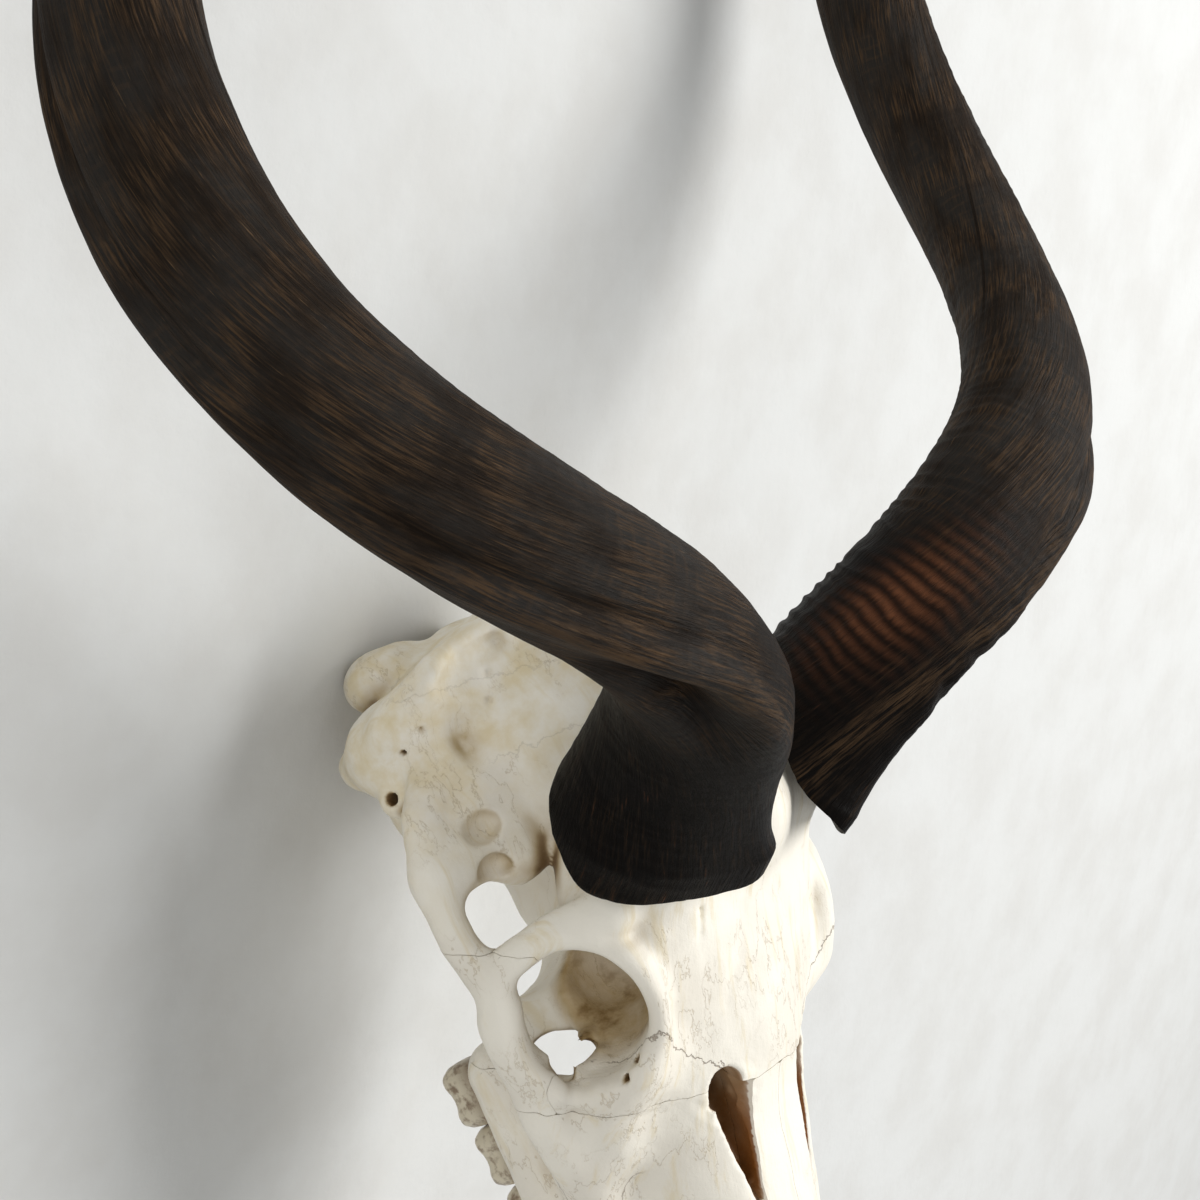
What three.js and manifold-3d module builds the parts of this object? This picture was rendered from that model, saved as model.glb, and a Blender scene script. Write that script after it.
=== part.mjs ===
// Skull of a greater kudu bull with both spiral horns and no lower jaw, life size, in millimetres, +Z up.
// The bones are shaped in the skull's own frame: +X to the animal's left, +Y towards the nape, +Z towards
// the brow, y = 0 at the eye sockets and z = 0 at the chewing edge of the teeth.
// The whole is then pitched back as it rests on a floor: on the back of the skull and on both horns.
import * as THREE from 'three';
import Module from 'manifold-3d';

const wasm = await Module();
wasm.setup();

// Rest position on the floor.
const restPitch = 39.674; // degrees that the nose is lifted
const restShift = [0, -360.514, 69.448]; // brings the middle of the base to the origin

// Sampling and seams.
const cell = 8; // spacing of the grid that the bones are sampled on
const seam = 0.3; // gap between neighbouring pieces
const skullSpan = [[-108, 108], [-280, 176], [-16, 200]]; // sampled box of the skull

// Face: half width, roof and floor along the muzzle, from the front of the upper jaw back to the eyes.
const faceAt = [-200, -185, -150, -110, -70, -35, 0, 10];
const faceWide = [22, 25, 31, 39, 47, 53, 50, 49];
const faceRoof = [60, 66, 78, 91, 105, 119, 131, 134];
const faceFloor = [20, 19, 17, 18, 18, 20, 32, 36];
const faceTaper = 0.14; // the face narrows towards its roof
const facePower = 2.6;

// Eye socket on the animal's left.
const socket = [69, -3, 99];
const socketFacing = [0.927, -0.195, 0.319];
const socketRim = 28.5;
const socketLip = 6.4;

// Seams between the bones: a point on each and the way to the bone in front of or above it.
const faceSeam = [[0, -50, 110], [0, -0.882, -0.471]];
const noseSeam = [[0, -200, 52], [0, -0.29, 0.957]];
const noseHalfWide = 16;
const frontSeam = [[0, -178, 50], [0, -0.86, -0.51]];
// Cheekbone: inner side, back end on the arch, top on the bar behind the eye, and the slope under the socket.
const cheekInner = 57;
const cheekBack = 36;
const cheekTop = 103;
const cheekSlope = [[0, 0, 90], [0, 0.46, -0.89]];

// Cheek teeth, from the last molar forward.
const toothLengths = [26, 25, 23, 17, 16, 14];
const toothRowEnd = -2;
const toothRowSide = 44;
const toothRowToe = 0.06; // the rows draw together towards the nose
const toothWide = 19;
const toothEdge = 4; // worn chewing edge
const toothTall = 20;

// Horn on the animal's right: a helix whose radius opens from the base and fades to the tip.
const hornRoot = [-52.9, 33.6, 152.8];
const hornRise = 31; // degrees, elevation of the helix axis
const hornSplay = 25.5; // degrees, outward lean of the helix axis
const hornReach = 888;
const helixRadius = 87.9;
const helixStart = -154; // degrees
const helixTurns = 1.69;
const helixOpens = 0.49;
const helixFades = 0.5;
const hornWide = 56.5; // diameter that the taper starts from
const hornTaper = 0.62;
const baseFlare = 12;
const baseFlareFade = 0.04;
const keelTurn = 22; // degrees ahead of the helix's outer side at the foot
const keelLag = 30; // degrees lost along the horn
const keelHigh = 0.11;
const backKeelHigh = 0.05;
const flattening = 0.06;
const footFlattening = 0.12; // the foot is flatter
const footFlatFade = 0.1;
// The foot of the horn leaves the helix and stands on the brow.
const footCentre = [-45, 50, 154];
const footHeading = [-0.25, 0.42, 0.87];
const footBlend = 0.12;
const rimPoint = [-45, 50, 154];
const rimNormal = [-0.476, -0.064, 0.877];
const hornCuts = [-0.045, 0.16, 0.42, 0.7, 1]; // ends of the four lengths
const hornSides = 16;
const hornRows = [9, 11, 11, 10];

// Colours of dry bone, tooth and horn.
const boneColour = 0xcfc7b6;
const napeColour = 0xc3b79c;
const hornColour = 0x352f27;

const vec = (a) => new THREE.Vector3(a[0], a[1], a[2]);
const clamp = THREE.MathUtils.clamp;
const rad = THREE.MathUtils.degToRad;

// Smooth curve through stations, level outside them.
function glide(at, stations, values) {
  const n = stations.length;
  if (at <= stations[0]) return values[0];
  if (at >= stations[n - 1]) return values[n - 1];
  let i = 0;
  while (at > stations[i + 1]) i += 1;
  const slope = (j) => {
    const a = Math.max(j - 1, 0);
    const b = Math.min(j + 1, n - 1);
    return (values[b] - values[a]) / (stations[b] - stations[a]);
  };
  const h = stations[i + 1] - stations[i];
  const t = (at - stations[i]) / h;
  const t2 = t * t;
  const t3 = t2 * t;
  return (2 * t3 - 3 * t2 + 1) * values[i] + (t3 - 2 * t2 + t) * h * slope(i)
    + (3 * t2 - 2 * t3) * values[i + 1] + (t3 - t2) * h * slope(i + 1);
}

// Distance fields. Each returns a function of a point on the animal's left half.
function ball(centre, radii, { pitch = 0, power = 2 } = {}) {
  const s = Math.sin(rad(pitch));
  const c = Math.cos(rad(pitch));
  const least = Math.min(...radii);
  return (x, y, z) => {
    const dx = Math.abs(x - centre[0]) / radii[0];
    const v = y - centre[1];
    const w = z - centre[2];
    const dy = Math.abs(v * c + w * s) / radii[1];
    const dz = Math.abs(w * c - v * s) / radii[2];
    if (power > 2) return (Math.pow(dx ** power + dy ** power + dz ** power, 1 / power) - 1) * least;
    const k = Math.hypot(dx, dy, dz);
    return (k * (k - 1)) / Math.max(Math.hypot(dx / radii[0], dy / radii[1], dz / radii[2]), 1e-9);
  };
}

function rod(points, radii, flat = null) {
  const side = flat ? vec(flat.across).normalize() : null;
  return (x, y, z) => {
    let least = Infinity;
    for (let i = 0; i + 1 < points.length; i += 1) {
      const a = points[i];
      const b = points[i + 1];
      const e = [b[0] - a[0], b[1] - a[1], b[2] - a[2]];
      const q = [x - a[0], y - a[1], z - a[2]];
      const t = clamp((q[0] * e[0] + q[1] * e[1] + q[2] * e[2]) / (e[0] ** 2 + e[1] ** 2 + e[2] ** 2), 0, 1);
      let v = [q[0] - t * e[0], q[1] - t * e[1], q[2] - t * e[2]];
      if (side) {
        const k = (v[0] * side.x + v[1] * side.y + v[2] * side.z) * (flat.squash - 1);
        v = [v[0] + k * side.x, v[1] + k * side.y, v[2] + k * side.z];
      }
      least = Math.min(least, Math.hypot(...v) - (radii[i] + (radii[i + 1] - radii[i]) * t));
    }
    return least;
  };
}

function ring(centre, facing, radius, thick, squash) {
  const n = vec(facing).normalize();
  return (x, y, z) => {
    const q = new THREE.Vector3(x - centre[0], y - centre[1], z - centre[2]);
    const h = q.dot(n);
    const out = q.addScaledVector(n, -h).length() - radius;
    return Math.hypot(h * squash, out) - thick;
  };
}

function muzzle(x, y, z) {
  const wide = glide(y, faceAt, faceWide);
  const roof = glide(y, faceAt, faceRoof);
  const floor = glide(y, faceAt, faceFloor);
  const half = (roof - floor) / 2;
  const level = (z - (roof + floor) / 2) / half;
  const u = Math.abs(x) / (wide * (1 - faceTaper * clamp(level, -1, 1)));
  const shell = (Math.pow(u ** facePower + Math.abs(level) ** facePower, 1 / facePower) - 1) * Math.min(wide, half);
  return Math.max(shell, faceAt[0] - y, y - faceAt[faceAt.length - 1]);
}

const along = (from, facing, distance) => from.map((v, i) => v + facing[i] * distance);
const grow = (shape, blend) => ({ shape, blend, sign: 1 });
const carve = (shape, blend) => ({ shape, blend, sign: -1 });
const mirrorFoot = [-footCentre[0], footCentre[1], footCentre[2]];
const mirrorHeading = [-footHeading[0], footHeading[1], footHeading[2]];

// The bones, in the order in which they are joined and hollowed.
const bones = [
  grow(ball([0, 88, 98], [46, 60, 45], { pitch: -22 }), 1), // braincase
  grow(ball([0, 6, 112], [60, 58, 27], { pitch: 30, power: 2.6 }), 14), // brow
  grow(ball([0, 0, 86], [32, 60, 46]), 14), // core between the eyes
  grow(rod([along(mirrorFoot, mirrorHeading, -40), along(mirrorFoot, mirrorHeading, -15)], [27, 26],
    { across: [-0.67, 0.69, -0.14], squash: 1.3 }), 12), // horn stump
  grow(rod([[0, 40, 146], [0, 74, 150], [0, 112, 128]], [24, 22, 22]), 16), // roof between the horns
  grow(rod([[0, 40, 56], [0, 142, 50]], [17, 19]), 14), // base of the skull
  grow(ball([0, 122, 82], [56, 20, 36], { pitch: 8 }), 12), // back of the skull
  grow(ball([54, 112, 66], [13, 17, 22]), 10), // behind the ear
  grow(muzzle, 16),
  grow(rod([[43, -12, 28], [43, -60, 27], [39, -105, 26], [32, -142, 24]], [13, 14, 13, 9]), 9), // tooth sockets
  carve(ball([0, -85, 2], [30, 95, 22]), 8), // palate
  carve(ball([74, 56, 96], [27, 30, 62]), 8), // hollow at the temple
  grow(rod([[76, 64, 77], [48, 80, 82]], [9, 16]), 10), // root of the cheek arch
  carve(rod([along(socket, socketFacing, 26), [36, 10, 93]], [26.5, 15]), 4), // eye socket
  carve(rod([[66, 10, 90], [64, 46, 90]], [15, 17]), 5), // way from the socket to the temple
  carve(ball([60, 18, 62], [20, 48, 27]), 6), // open floor of the socket
  grow(ring(along(socket, socketFacing, -1), socketFacing, socketRim, socketLip, 0.8), 6),
  grow(rod([[60, 26, 126], [71, 27, 108], [79, 22, 84]], [9, 7.5, 8], { across: [0.9, 0.3, 0.3], squash: 1.25 }), 7),
  grow(rod([[78, 14, 80], [81, 40, 75], [80, 62, 75], [73, 84, 78], [56, 98, 78]], [9, 8, 8, 8.5, 10],
    { across: [1, 0, 0], squash: 1.2 }), 7), // cheek arch
  grow(rod([[78, 4, 74], [69, -30, 64], [52, -66, 52]], [8, 10, 11], { across: [1, 0.3, 0], squash: 1.2 }), 12),
  grow(ball([26, 141, 47], [15, 14, 18]), 10), // joint with the neck
  grow(rod([[48, 114, 54], [46, 114, 36]], [13, 9]), 14), // process behind the ear
  grow(ball([34, 90, 46], [14, 17, 15]), 16), // ear capsule
  grow(rod([[44, 94, 60], [65, 95, 60]], [9.5, 8]), 5), // ear canal
  grow(rod([[0, 130, 116], [30, 134, 112], [50, 130, 96], [60, 118, 74]], [8, 7.5, 7.5, 8]), 8), // nape crest
  carve(rod([[0, 118, 52], [0, 170, 50]], [13, 15]), 4), // hole for the spinal cord
  carve(rod([[0, 24, 38], [0, -30, 32]], [14, 11]), 6), // back of the nose passage
  grow(rod([[24, -174, 48], [21, -205, 36], [17, -235, 25], [12, -254, 20]], [9, 8, 8, 8]), 8), // front jaw blade
  grow(rod([[9, -250, 19], [8, -190, 21]], [8, 8], { across: [0, 0, 1], squash: 1.25 }), 8), // front jaw plate
  carve(rod([[0, -240, 42], [0, -190, 43], [0, -150, 48], [0, -112, 52]], [14, 15, 17, 13],
    { across: [0, 0, 1], squash: 0.78 }), 4), // nose passage
  grow(rod([[8, -214, 59], [9, -196, 64], [10, -165, 71]], [6.5, 8, 8]), 5), // tips of the nose bones
  carve(rod([[26, -50, 108], [20.5, -90, 96]], [8, 3], { across: [0.5, -0.25, 0.83], squash: 0.5 }), 3), // fissure
];

function skullField(x, y, z) {
  const ax = Math.abs(x);
  let d = 1e6;
  for (const { shape, blend, sign } of bones) {
    const e = shape(ax, y, z);
    const a = sign * d;
    const h = Math.max(blend - Math.abs(a - e), 0) / blend;
    d = sign * (Math.min(a, e) - h * h * blend * 0.25);
  }
  return d;
}

// Samples the field on the grid and joins the crossed cells into a closed surface that lies on the field.
function sampledSurface(field, span, step) {
  const count = span.map(([lo, hi]) => Math.round((hi - lo) / step) + 1);
  const [nx, ny, nz] = count;
  const at = (i, j, k) => (i * ny + j) * nz + k;
  const place = (i, axis) => span[axis][0] + i * step;
  const values = new Float64Array(nx * ny * nz);
  for (let i = 0; i < nx; i += 1) {
    for (let j = 0; j < ny; j += 1) {
      for (let k = 0; k < nz; k += 1) values[at(i, j, k)] = field(place(i, 0), place(j, 1), place(k, 2));
    }
  }
  closePinches(values, count, at);
  const corners = [];
  for (let c = 0; c < 8; c += 1) corners.push([c & 1, (c >> 1) & 1, (c >> 2) & 1]);
  const vertexOf = new Int32Array(nx * ny * nz).fill(-1);
  const points = [];
  for (let i = 0; i + 1 < nx; i += 1) {
    for (let j = 0; j + 1 < ny; j += 1) {
      for (let k = 0; k + 1 < nz; k += 1) {
        const v = corners.map(([a, b, c]) => values[at(i + a, j + b, k + c)]);
        const inside = v.filter((w) => w < 0).length;
        if (inside === 0 || inside === 8) continue;
        const sum = [0, 0, 0];
        let crossings = 0;
        for (let c = 0; c < 8; c += 1) {
          for (let axis = 0; axis < 3; axis += 1) {
            const other = c | (1 << axis);
            if (other === c || (v[c] < 0) === (v[other] < 0)) continue;
            const t = v[c] / (v[c] - v[other]);
            for (let m = 0; m < 3; m += 1) sum[m] += corners[c][m] + (m === axis ? t : 0);
            crossings += 1;
          }
        }
        vertexOf[at(i, j, k)] = points.length;
        points.push([i, j, k].map((n, m) => place(n + sum[m] / crossings, m)));
      }
    }
  }
  const quads = [];
  for (let i = 1; i + 1 < nx; i += 1) {
    for (let j = 1; j + 1 < ny; j += 1) {
      for (let k = 1; k + 1 < nz; k += 1) {
        for (let axis = 0; axis < 3; axis += 1) {
          const next = [i, j, k];
          next[axis] += 1;
          const here = values[at(i, j, k)] < 0;
          if (here === (values[at(...next)] < 0)) continue;
          const u = (axis + 1) % 3;
          const w = (axis + 2) % 3;
          const around = [[1, 1], [0, 1], [0, 0], [1, 0]].map(([a, b]) => {
            const q = [i, j, k];
            q[u] -= a;
            q[w] -= b;
            return vertexOf[at(...q)];
          });
          quads.push(here ? around : around.reverse());
        }
      }
    }
  }
  evenOut(points, quads, 2, 0.5);
  for (const p of points) settle(p, field, step);
  evenOut(points, quads, 1, 0.3);
  const index = [];
  for (const [a, b, c, d] of quads) {
    const reach = (m, n) => Math.hypot(...points[m].map((v, i) => v - points[n][i]));
    if (reach(a, c) < reach(b, d)) index.push(a, b, c, a, c, d);
    else index.push(a, b, d, b, c, d);
  }
  return indexed(points.flat(), index);
}

// Fills a sample wherever the bone would touch itself along an edge only.
function closePinches(values, count, at) {
  const [nx, ny, nz] = count;
  let filled = true;
  while (filled) {
    filled = false;
    for (let i = 0; i + 1 < nx; i += 1) {
      for (let j = 0; j + 1 < ny; j += 1) {
        for (let k = 0; k + 1 < nz; k += 1) {
          const faces = [
            [at(i, j, k), at(i, j + 1, k), at(i, j + 1, k + 1), at(i, j, k + 1)],
            [at(i, j, k), at(i + 1, j, k), at(i + 1, j, k + 1), at(i, j, k + 1)],
            [at(i, j, k), at(i + 1, j, k), at(i + 1, j + 1, k), at(i, j + 1, k)],
          ];
          for (const face of faces) {
            const inside = face.map((n) => values[n] < 0);
            if (inside[0] !== inside[2] || inside[1] !== inside[3] || inside[0] === inside[1]) continue;
            const open = face.filter((n) => values[n] >= 0);
            for (const n of open) values[n] = -0.5;
            filled = true;
          }
        }
      }
    }
  }
}

// Moves each point part of the way to the middle of its neighbours.
function evenOut(points, quads, passes, share) {
  for (let pass = 0; pass < passes; pass += 1) {
    const sums = points.map(() => [0, 0, 0, 0]);
    for (const quad of quads) {
      quad.forEach((v, i) => {
        const next = points[quad[(i + 1) % 4]];
        for (let m = 0; m < 3; m += 1) sums[v][m] += next[m];
        sums[v][3] += 1;
      });
    }
    points.forEach((p, i) => {
      for (let m = 0; m < 3; m += 1) p[m] += share * (sums[i][m] / sums[i][3] - p[m]);
    });
  }
}

// Lays a point back on the surface of the field.
function settle(p, field, step) {
  for (let turn = 0; turn < 3; turn += 1) {
    const d = field(...p);
    const e = 0.5;
    const slope = [0, 1, 2].map((m) => {
      const q = [...p];
      q[m] += e;
      return (field(...q) - d) / e;
    });
    const size = Math.max(slope[0] ** 2 + slope[1] ** 2 + slope[2] ** 2, 0.2);
    for (let m = 0; m < 3; m += 1) p[m] -= clamp((d * slope[m]) / size, -step * 0.3, step * 0.3);
  }
}

function indexed(positions, index) {
  const geometry = new THREE.BufferGeometry();
  geometry.setAttribute('position', new THREE.Float32BufferAttribute(positions, 3));
  geometry.setIndex(index);
  return geometry;
}

// Between geometries and solids that can be joined and cut.
function solidOf(geometry) {
  const position = geometry.getAttribute('position');
  const seen = new Map();
  const vertices = [];
  const remap = [];
  for (let i = 0; i < position.count; i += 1) {
    const p = [position.getX(i), position.getY(i), position.getZ(i)];
    const key = p.map((v) => Math.round(v * 1e4)).join();
    if (!seen.has(key)) {
      seen.set(key, vertices.length / 3);
      vertices.push(...p);
    }
    remap.push(seen.get(key));
  }
  const order = geometry.index ? [...geometry.index.array] : remap.map((_, i) => i);
  const faces = [];
  for (let i = 0; i < order.length; i += 3) {
    const f = [remap[order[i]], remap[order[i + 1]], remap[order[i + 2]]];
    if (f[0] !== f[1] && f[1] !== f[2] && f[2] !== f[0]) faces.push(...f);
  }
  return new wasm.Manifold(new wasm.Mesh({
    numProp: 3, vertProperties: new Float32Array(vertices), triVerts: new Uint32Array(faces),
  }));
}

function geometryOf(solid) {
  const mesh = solid.getMesh();
  const positions = [];
  for (let i = 0; i < mesh.numVert; i += 1) positions.push(...mesh.position(i));
  const geometry = indexed(positions, [...mesh.triVerts]);
  geometry.computeVertexNormals();
  return geometry;
}

const largest = (solid) => solid.decompose().sort((a, b) => b.volume() - a.volume())[0];

// Half space on the side of a plane that its normal points to, as a block.
function beyond(point, normal, shift) {
  const size = 2400;
  const n = vec(normal).normalize();
  const block = new THREE.BoxGeometry(size, size, size);
  const turn = new THREE.Quaternion().setFromUnitVectors(new THREE.Vector3(0, 0, 1), n);
  const centre = vec(point).addScaledVector(n, size / 2 + shift);
  block.applyMatrix4(new THREE.Matrix4().compose(centre, turn, new THREE.Vector3(1, 1, 1)));
  return solidOf(block);
}

// Parts a solid into what lies inside all the planes and the rest, with a seam between them.
function partAlong(solid, planes) {
  let inside = solid;
  let keep = null;
  for (const [point, normal] of planes) {
    inside = inside.intersect(beyond(point, normal, seam / 2));
    const wider = beyond(point, normal, -seam / 2);
    keep = keep ? keep.intersect(wider) : wider;
  }
  return [largest(inside), solid.subtract(keep)];
}

// Horn: centre line, section and lengths.
const axisDirection = new THREE.Vector3(
  -Math.sin(rad(hornSplay)),
  Math.cos(rad(hornSplay)) * Math.cos(rad(hornRise)),
  Math.cos(rad(hornSplay)) * Math.sin(rad(hornRise)),
);
const outward = new THREE.Vector3(-1, 0, 0);
outward.addScaledVector(axisDirection, -outward.dot(axisDirection)).normalize();
const sideways = new THREE.Vector3().crossVectors(axisDirection, outward).negate();

const around = (angle) => outward.clone().multiplyScalar(Math.cos(angle)).addScaledVector(sideways, Math.sin(angle));
const helixAngle = (t) => rad(helixStart) + 2 * Math.PI * helixTurns * t;

function helixPoint(t) {
  const radius = helixRadius * (1 - Math.exp((-3 * t) / helixOpens)) * (1 - helixFades * t);
  return vec(hornRoot).addScaledVector(axisDirection, hornReach * t).addScaledVector(around(helixAngle(t)), radius);
}

const helixSlope = helixPoint(1e-4).sub(helixPoint(0)).multiplyScalar(1e4);
const footOffset = vec(footCentre).sub(helixPoint(0));
const footSlope = vec(footHeading).normalize().multiplyScalar(helixSlope.length()).sub(helixSlope);

function hornPoint(t) {
  if (t < 0) return vec(footCentre).addScaledVector(vec(footHeading).normalize(), helixSlope.length() * t);
  const p = helixPoint(t);
  if (t < footBlend) {
    const s = t / footBlend;
    p.addScaledVector(footOffset, 2 * s ** 3 - 3 * s ** 2 + 1);
    p.addScaledVector(footSlope, footBlend * (s ** 3 - 2 * s ** 2 + s));
  }
  return p;
}

function hornRadius(t) {
  const s = clamp(t, 0, 1);
  return 0.5 * (hornWide * (1 - s) ** hornTaper + baseFlare * Math.exp(-s / baseFlareFade));
}

// Section round the centre line, measured from the keel.
function keelShape(turn, t) {
  const fade = 1 - 0.75 * clamp(t, 0, 1);
  const away = Math.PI - Math.abs(turn);
  const flat = flattening + footFlattening * Math.exp(-clamp(t, 0, 1) / footFlatFade);
  return 1 + flat * Math.cos(2 * turn) + fade * (keelHigh * Math.exp(-((turn / 0.4) ** 2))
    + backKeelHigh * Math.exp(-((away / 0.5) ** 2)));
}

function hornRing(t, slide, extra) {
  const tangent = hornPoint(t + 2e-4).sub(hornPoint(t - 2e-4)).normalize();
  const centre = hornPoint(t).addScaledVector(tangent, slide);
  const keel = around(helixAngle(clamp(t, 0, 1)) + rad(keelTurn - keelLag * clamp(t, 0, 1)));
  keel.addScaledVector(tangent, -keel.dot(tangent)).normalize();
  const side = new THREE.Vector3().crossVectors(tangent, keel);
  const ringPoints = [];
  for (let k = 0; k < hornSides; k += 1) {
    let turn = (2 * Math.PI * k) / hornSides;
    if (turn > Math.PI) turn -= 2 * Math.PI;
    const r = Math.max(hornRadius(t), 1.2) * keelShape(turn, t) + extra;
    ringPoints.push(centre.clone().addScaledVector(keel, r * Math.cos(turn)).addScaledVector(side, r * Math.sin(turn)));
  }
  return { centre, ringPoints };
}

function hornLength(from, to, rows, extra = 0) {
  const positions = [];
  const index = [];
  const put = (p) => positions.push(p.x, p.y, p.z);
  for (let row = 0; row <= rows; row += 1) {
    const slide = row === 0 ? seam / 2 : row === rows ? -seam / 2 : 0;
    const { centre, ringPoints } = hornRing(from + ((to - from) * row) / rows, slide, extra);
    if (row === 0) put(centre);
    ringPoints.forEach(put);
    if (row === rows) put(centre);
  }
  const at = (row, k) => 1 + row * hornSides + (k % hornSides);
  const last = positions.length / 3 - 1;
  for (let k = 0; k < hornSides; k += 1) {
    index.push(0, at(0, k + 1), at(0, k));
    for (let row = 0; row < rows; row += 1) {
      index.push(at(row, k), at(row, k + 1), at(row + 1, k + 1), at(row, k), at(row + 1, k + 1), at(row + 1, k));
    }
    index.push(last, at(rows, k), at(rows, k + 1));
  }
  return indexed(positions, index);
}

function mirrored(geometry) {
  const copy = geometry.clone();
  copy.scale(-1, 1, 1);
  const order = [...copy.index.array];
  for (let i = 0; i < order.length; i += 3) [order[i], order[i + 1]] = [order[i + 1], order[i]];
  copy.setIndex(order);
  return copy;
}

// A cheek tooth: two lobes in plan, set in the jaw.
function toothGeometry(length, wide, tall) {
  const outline = new THREE.Shape();
  const steps = 14;
  for (let k = 0; k < steps; k += 1) {
    const turn = (2 * Math.PI * k) / steps;
    const waist = 1 - 0.14 * Math.exp(-((Math.cos(turn) / 0.3) ** 2));
    const x = (wide / 2) * Math.sign(Math.sin(turn)) * Math.abs(Math.sin(turn)) ** 0.7 * waist;
    const y = (length / 2) * Math.sign(Math.cos(turn)) * Math.abs(Math.cos(turn)) ** 0.7;
    if (k === 0) outline.moveTo(x, y);
    else outline.lineTo(x, y);
  }
  outline.closePath();
  return new THREE.ExtrudeGeometry(outline, { depth: tall, steps: 1, bevelEnabled: false });
}

function toothRow() {
  let row = null;
  let end = toothRowEnd;
  for (const length of toothLengths) {
    const middle = end - length / 2;
    const tooth = toothGeometry(length * 1.02, toothWide * (0.55 + 0.45 * Math.min(length / 23, 1)), toothTall);
    tooth.translate(toothRowSide + toothRowToe * (middle + 15), middle, toothEdge);
    const solid = solidOf(tooth);
    row = row ? row.add(solid) : solid;
    end -= length;
  }
  return row.intersect(beyond(...faceSeam, seam / 2));
}

const root = new THREE.Group();
const pieces = new THREE.Group();
root.add(pieces);
pieces.rotation.x = -rad(restPitch);
pieces.position.set(...restShift);

function place(name, geometry, colour, roughness) {
  const material = new THREE.MeshStandardMaterial({ color: colour, roughness, metalness: 0 });
  const mesh = new THREE.Mesh(geometry, material);
  mesh.name = name;
  pieces.add(mesh);
}

// Horns: four lengths each, the lowest cut flat where it stands on its stump.
const lengthNames = ['base', 'lower', 'upper', 'tip'];
const sheathRoom = solidOf(hornLength(hornCuts[0], hornCuts[1], hornRows[0], seam))
  .intersect(beyond(rimPoint, rimNormal, -seam));
let stumpRoom = sheathRoom;
lengthNames.forEach((name, i) => {
  let geometry = hornLength(hornCuts[i], hornCuts[i + 1], hornRows[i]);
  if (i === 0) geometry = geometryOf(solidOf(geometry).intersect(beyond(rimPoint, rimNormal, 0)));
  place(`horn_right_${name}`, geometry, hornColour, 0.6);
  place(`horn_left_${name}`, mirrored(geometry), hornColour, 0.6);
  if (i === 0) stumpRoom = sheathRoom.add(solidOf(mirrored(geometryOf(sheathRoom))));
});

// Skull: sampled whole, fitted under the horns, then parted along its main seams.
const skull = largest(solidOf(sampledSurface(skullField, skullSpan, cell)).subtract(stumpRoom));
const [face, rear] = partAlong(skull, [faceSeam]);
let cranium = rear;
for (const [side, x] of [['right', -1], ['left', 1]]) {
  const [cheek, rest] = partAlong(cranium, [
    [[cheekInner * x, 0, 0], [x, 0, 0]],
    [[0, cheekBack, 0], [0, -1, 0]],
    [[0, 0, cheekTop], [0, 0, -1]],
    cheekSlope,
  ]);
  cranium = rest;
  place(`cheekbone_${side}`, geometryOf(cheek), boneColour, 0.7);
}
place('cranium', geometryOf(largest(cranium)), napeColour, 0.7);

const [nose, jaws] = partAlong(face, [
  [[noseHalfWide, 0, 0], [-1, 0, 0]],
  [[-noseHalfWide, 0, 0], [1, 0, 0]],
  noseSeam,
]);
const [front, upper] = partAlong(jaws, [frontSeam]);
for (const [side, x] of [['right', -1], ['left', 1]]) {
  const half = [[[0, 0, 0], [x, 0, 0]]];
  const row = x > 0 ? toothRow() : solidOf(mirrored(geometryOf(toothRow())));
  place(`nasal_${side}`, geometryOf(partAlong(nose, half)[0]), boneColour, 0.7);
  place(`premaxilla_${side}`, geometryOf(partAlong(front, half)[0]), boneColour, 0.7);
  place(`upper_jaw_${side}`, geometryOf(largest(partAlong(upper, half)[0].add(row))), boneColour, 0.7);
}

root.updateMatrixWorld(true);

export default root;
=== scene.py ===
import math

import bpy
import numpy as np
from mathutils import Matrix, Vector


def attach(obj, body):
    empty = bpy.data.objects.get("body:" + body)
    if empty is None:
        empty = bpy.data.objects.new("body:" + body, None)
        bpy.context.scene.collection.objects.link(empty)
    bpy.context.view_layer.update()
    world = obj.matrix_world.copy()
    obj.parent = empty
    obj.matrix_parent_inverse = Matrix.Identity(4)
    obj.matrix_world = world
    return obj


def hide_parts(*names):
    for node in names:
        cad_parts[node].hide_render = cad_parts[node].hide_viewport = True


# Dry skull of a kudu bull with both horns, lying tipped back on its nape and horn tips.
# Shapes are worked out in millimetres in the skull's own frame:
# +x is the animal's left, +y the nape and +z the brow.
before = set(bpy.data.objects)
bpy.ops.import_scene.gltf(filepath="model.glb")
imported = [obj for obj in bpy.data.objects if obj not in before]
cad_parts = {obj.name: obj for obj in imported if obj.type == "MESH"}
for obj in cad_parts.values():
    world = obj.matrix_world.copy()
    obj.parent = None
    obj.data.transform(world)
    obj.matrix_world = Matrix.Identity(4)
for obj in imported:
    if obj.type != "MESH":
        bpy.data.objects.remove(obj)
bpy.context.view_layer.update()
print("frame loaded, nodes:", len(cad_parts))

rest = {"pitchDeg": 39.674, "shift": (0.0, -360.514, 69.448)}  # how the skull lies on the floor
mm = 0.001


def restMatrix():
    turn = Matrix.Rotation(-math.radians(rest["pitchDeg"]), 4, "X")
    return Matrix.Scale(mm, 4) @ Matrix.Translation(rest["shift"]) @ turn


toFloor = restMatrix()


def unit(vector):
    vector = np.asarray(vector, float)
    return vector / np.linalg.norm(vector)


def addObject(name, data):
    made = bpy.data.objects.new(name, data)
    bpy.context.scene.collection.objects.link(made)
    return made


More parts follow.
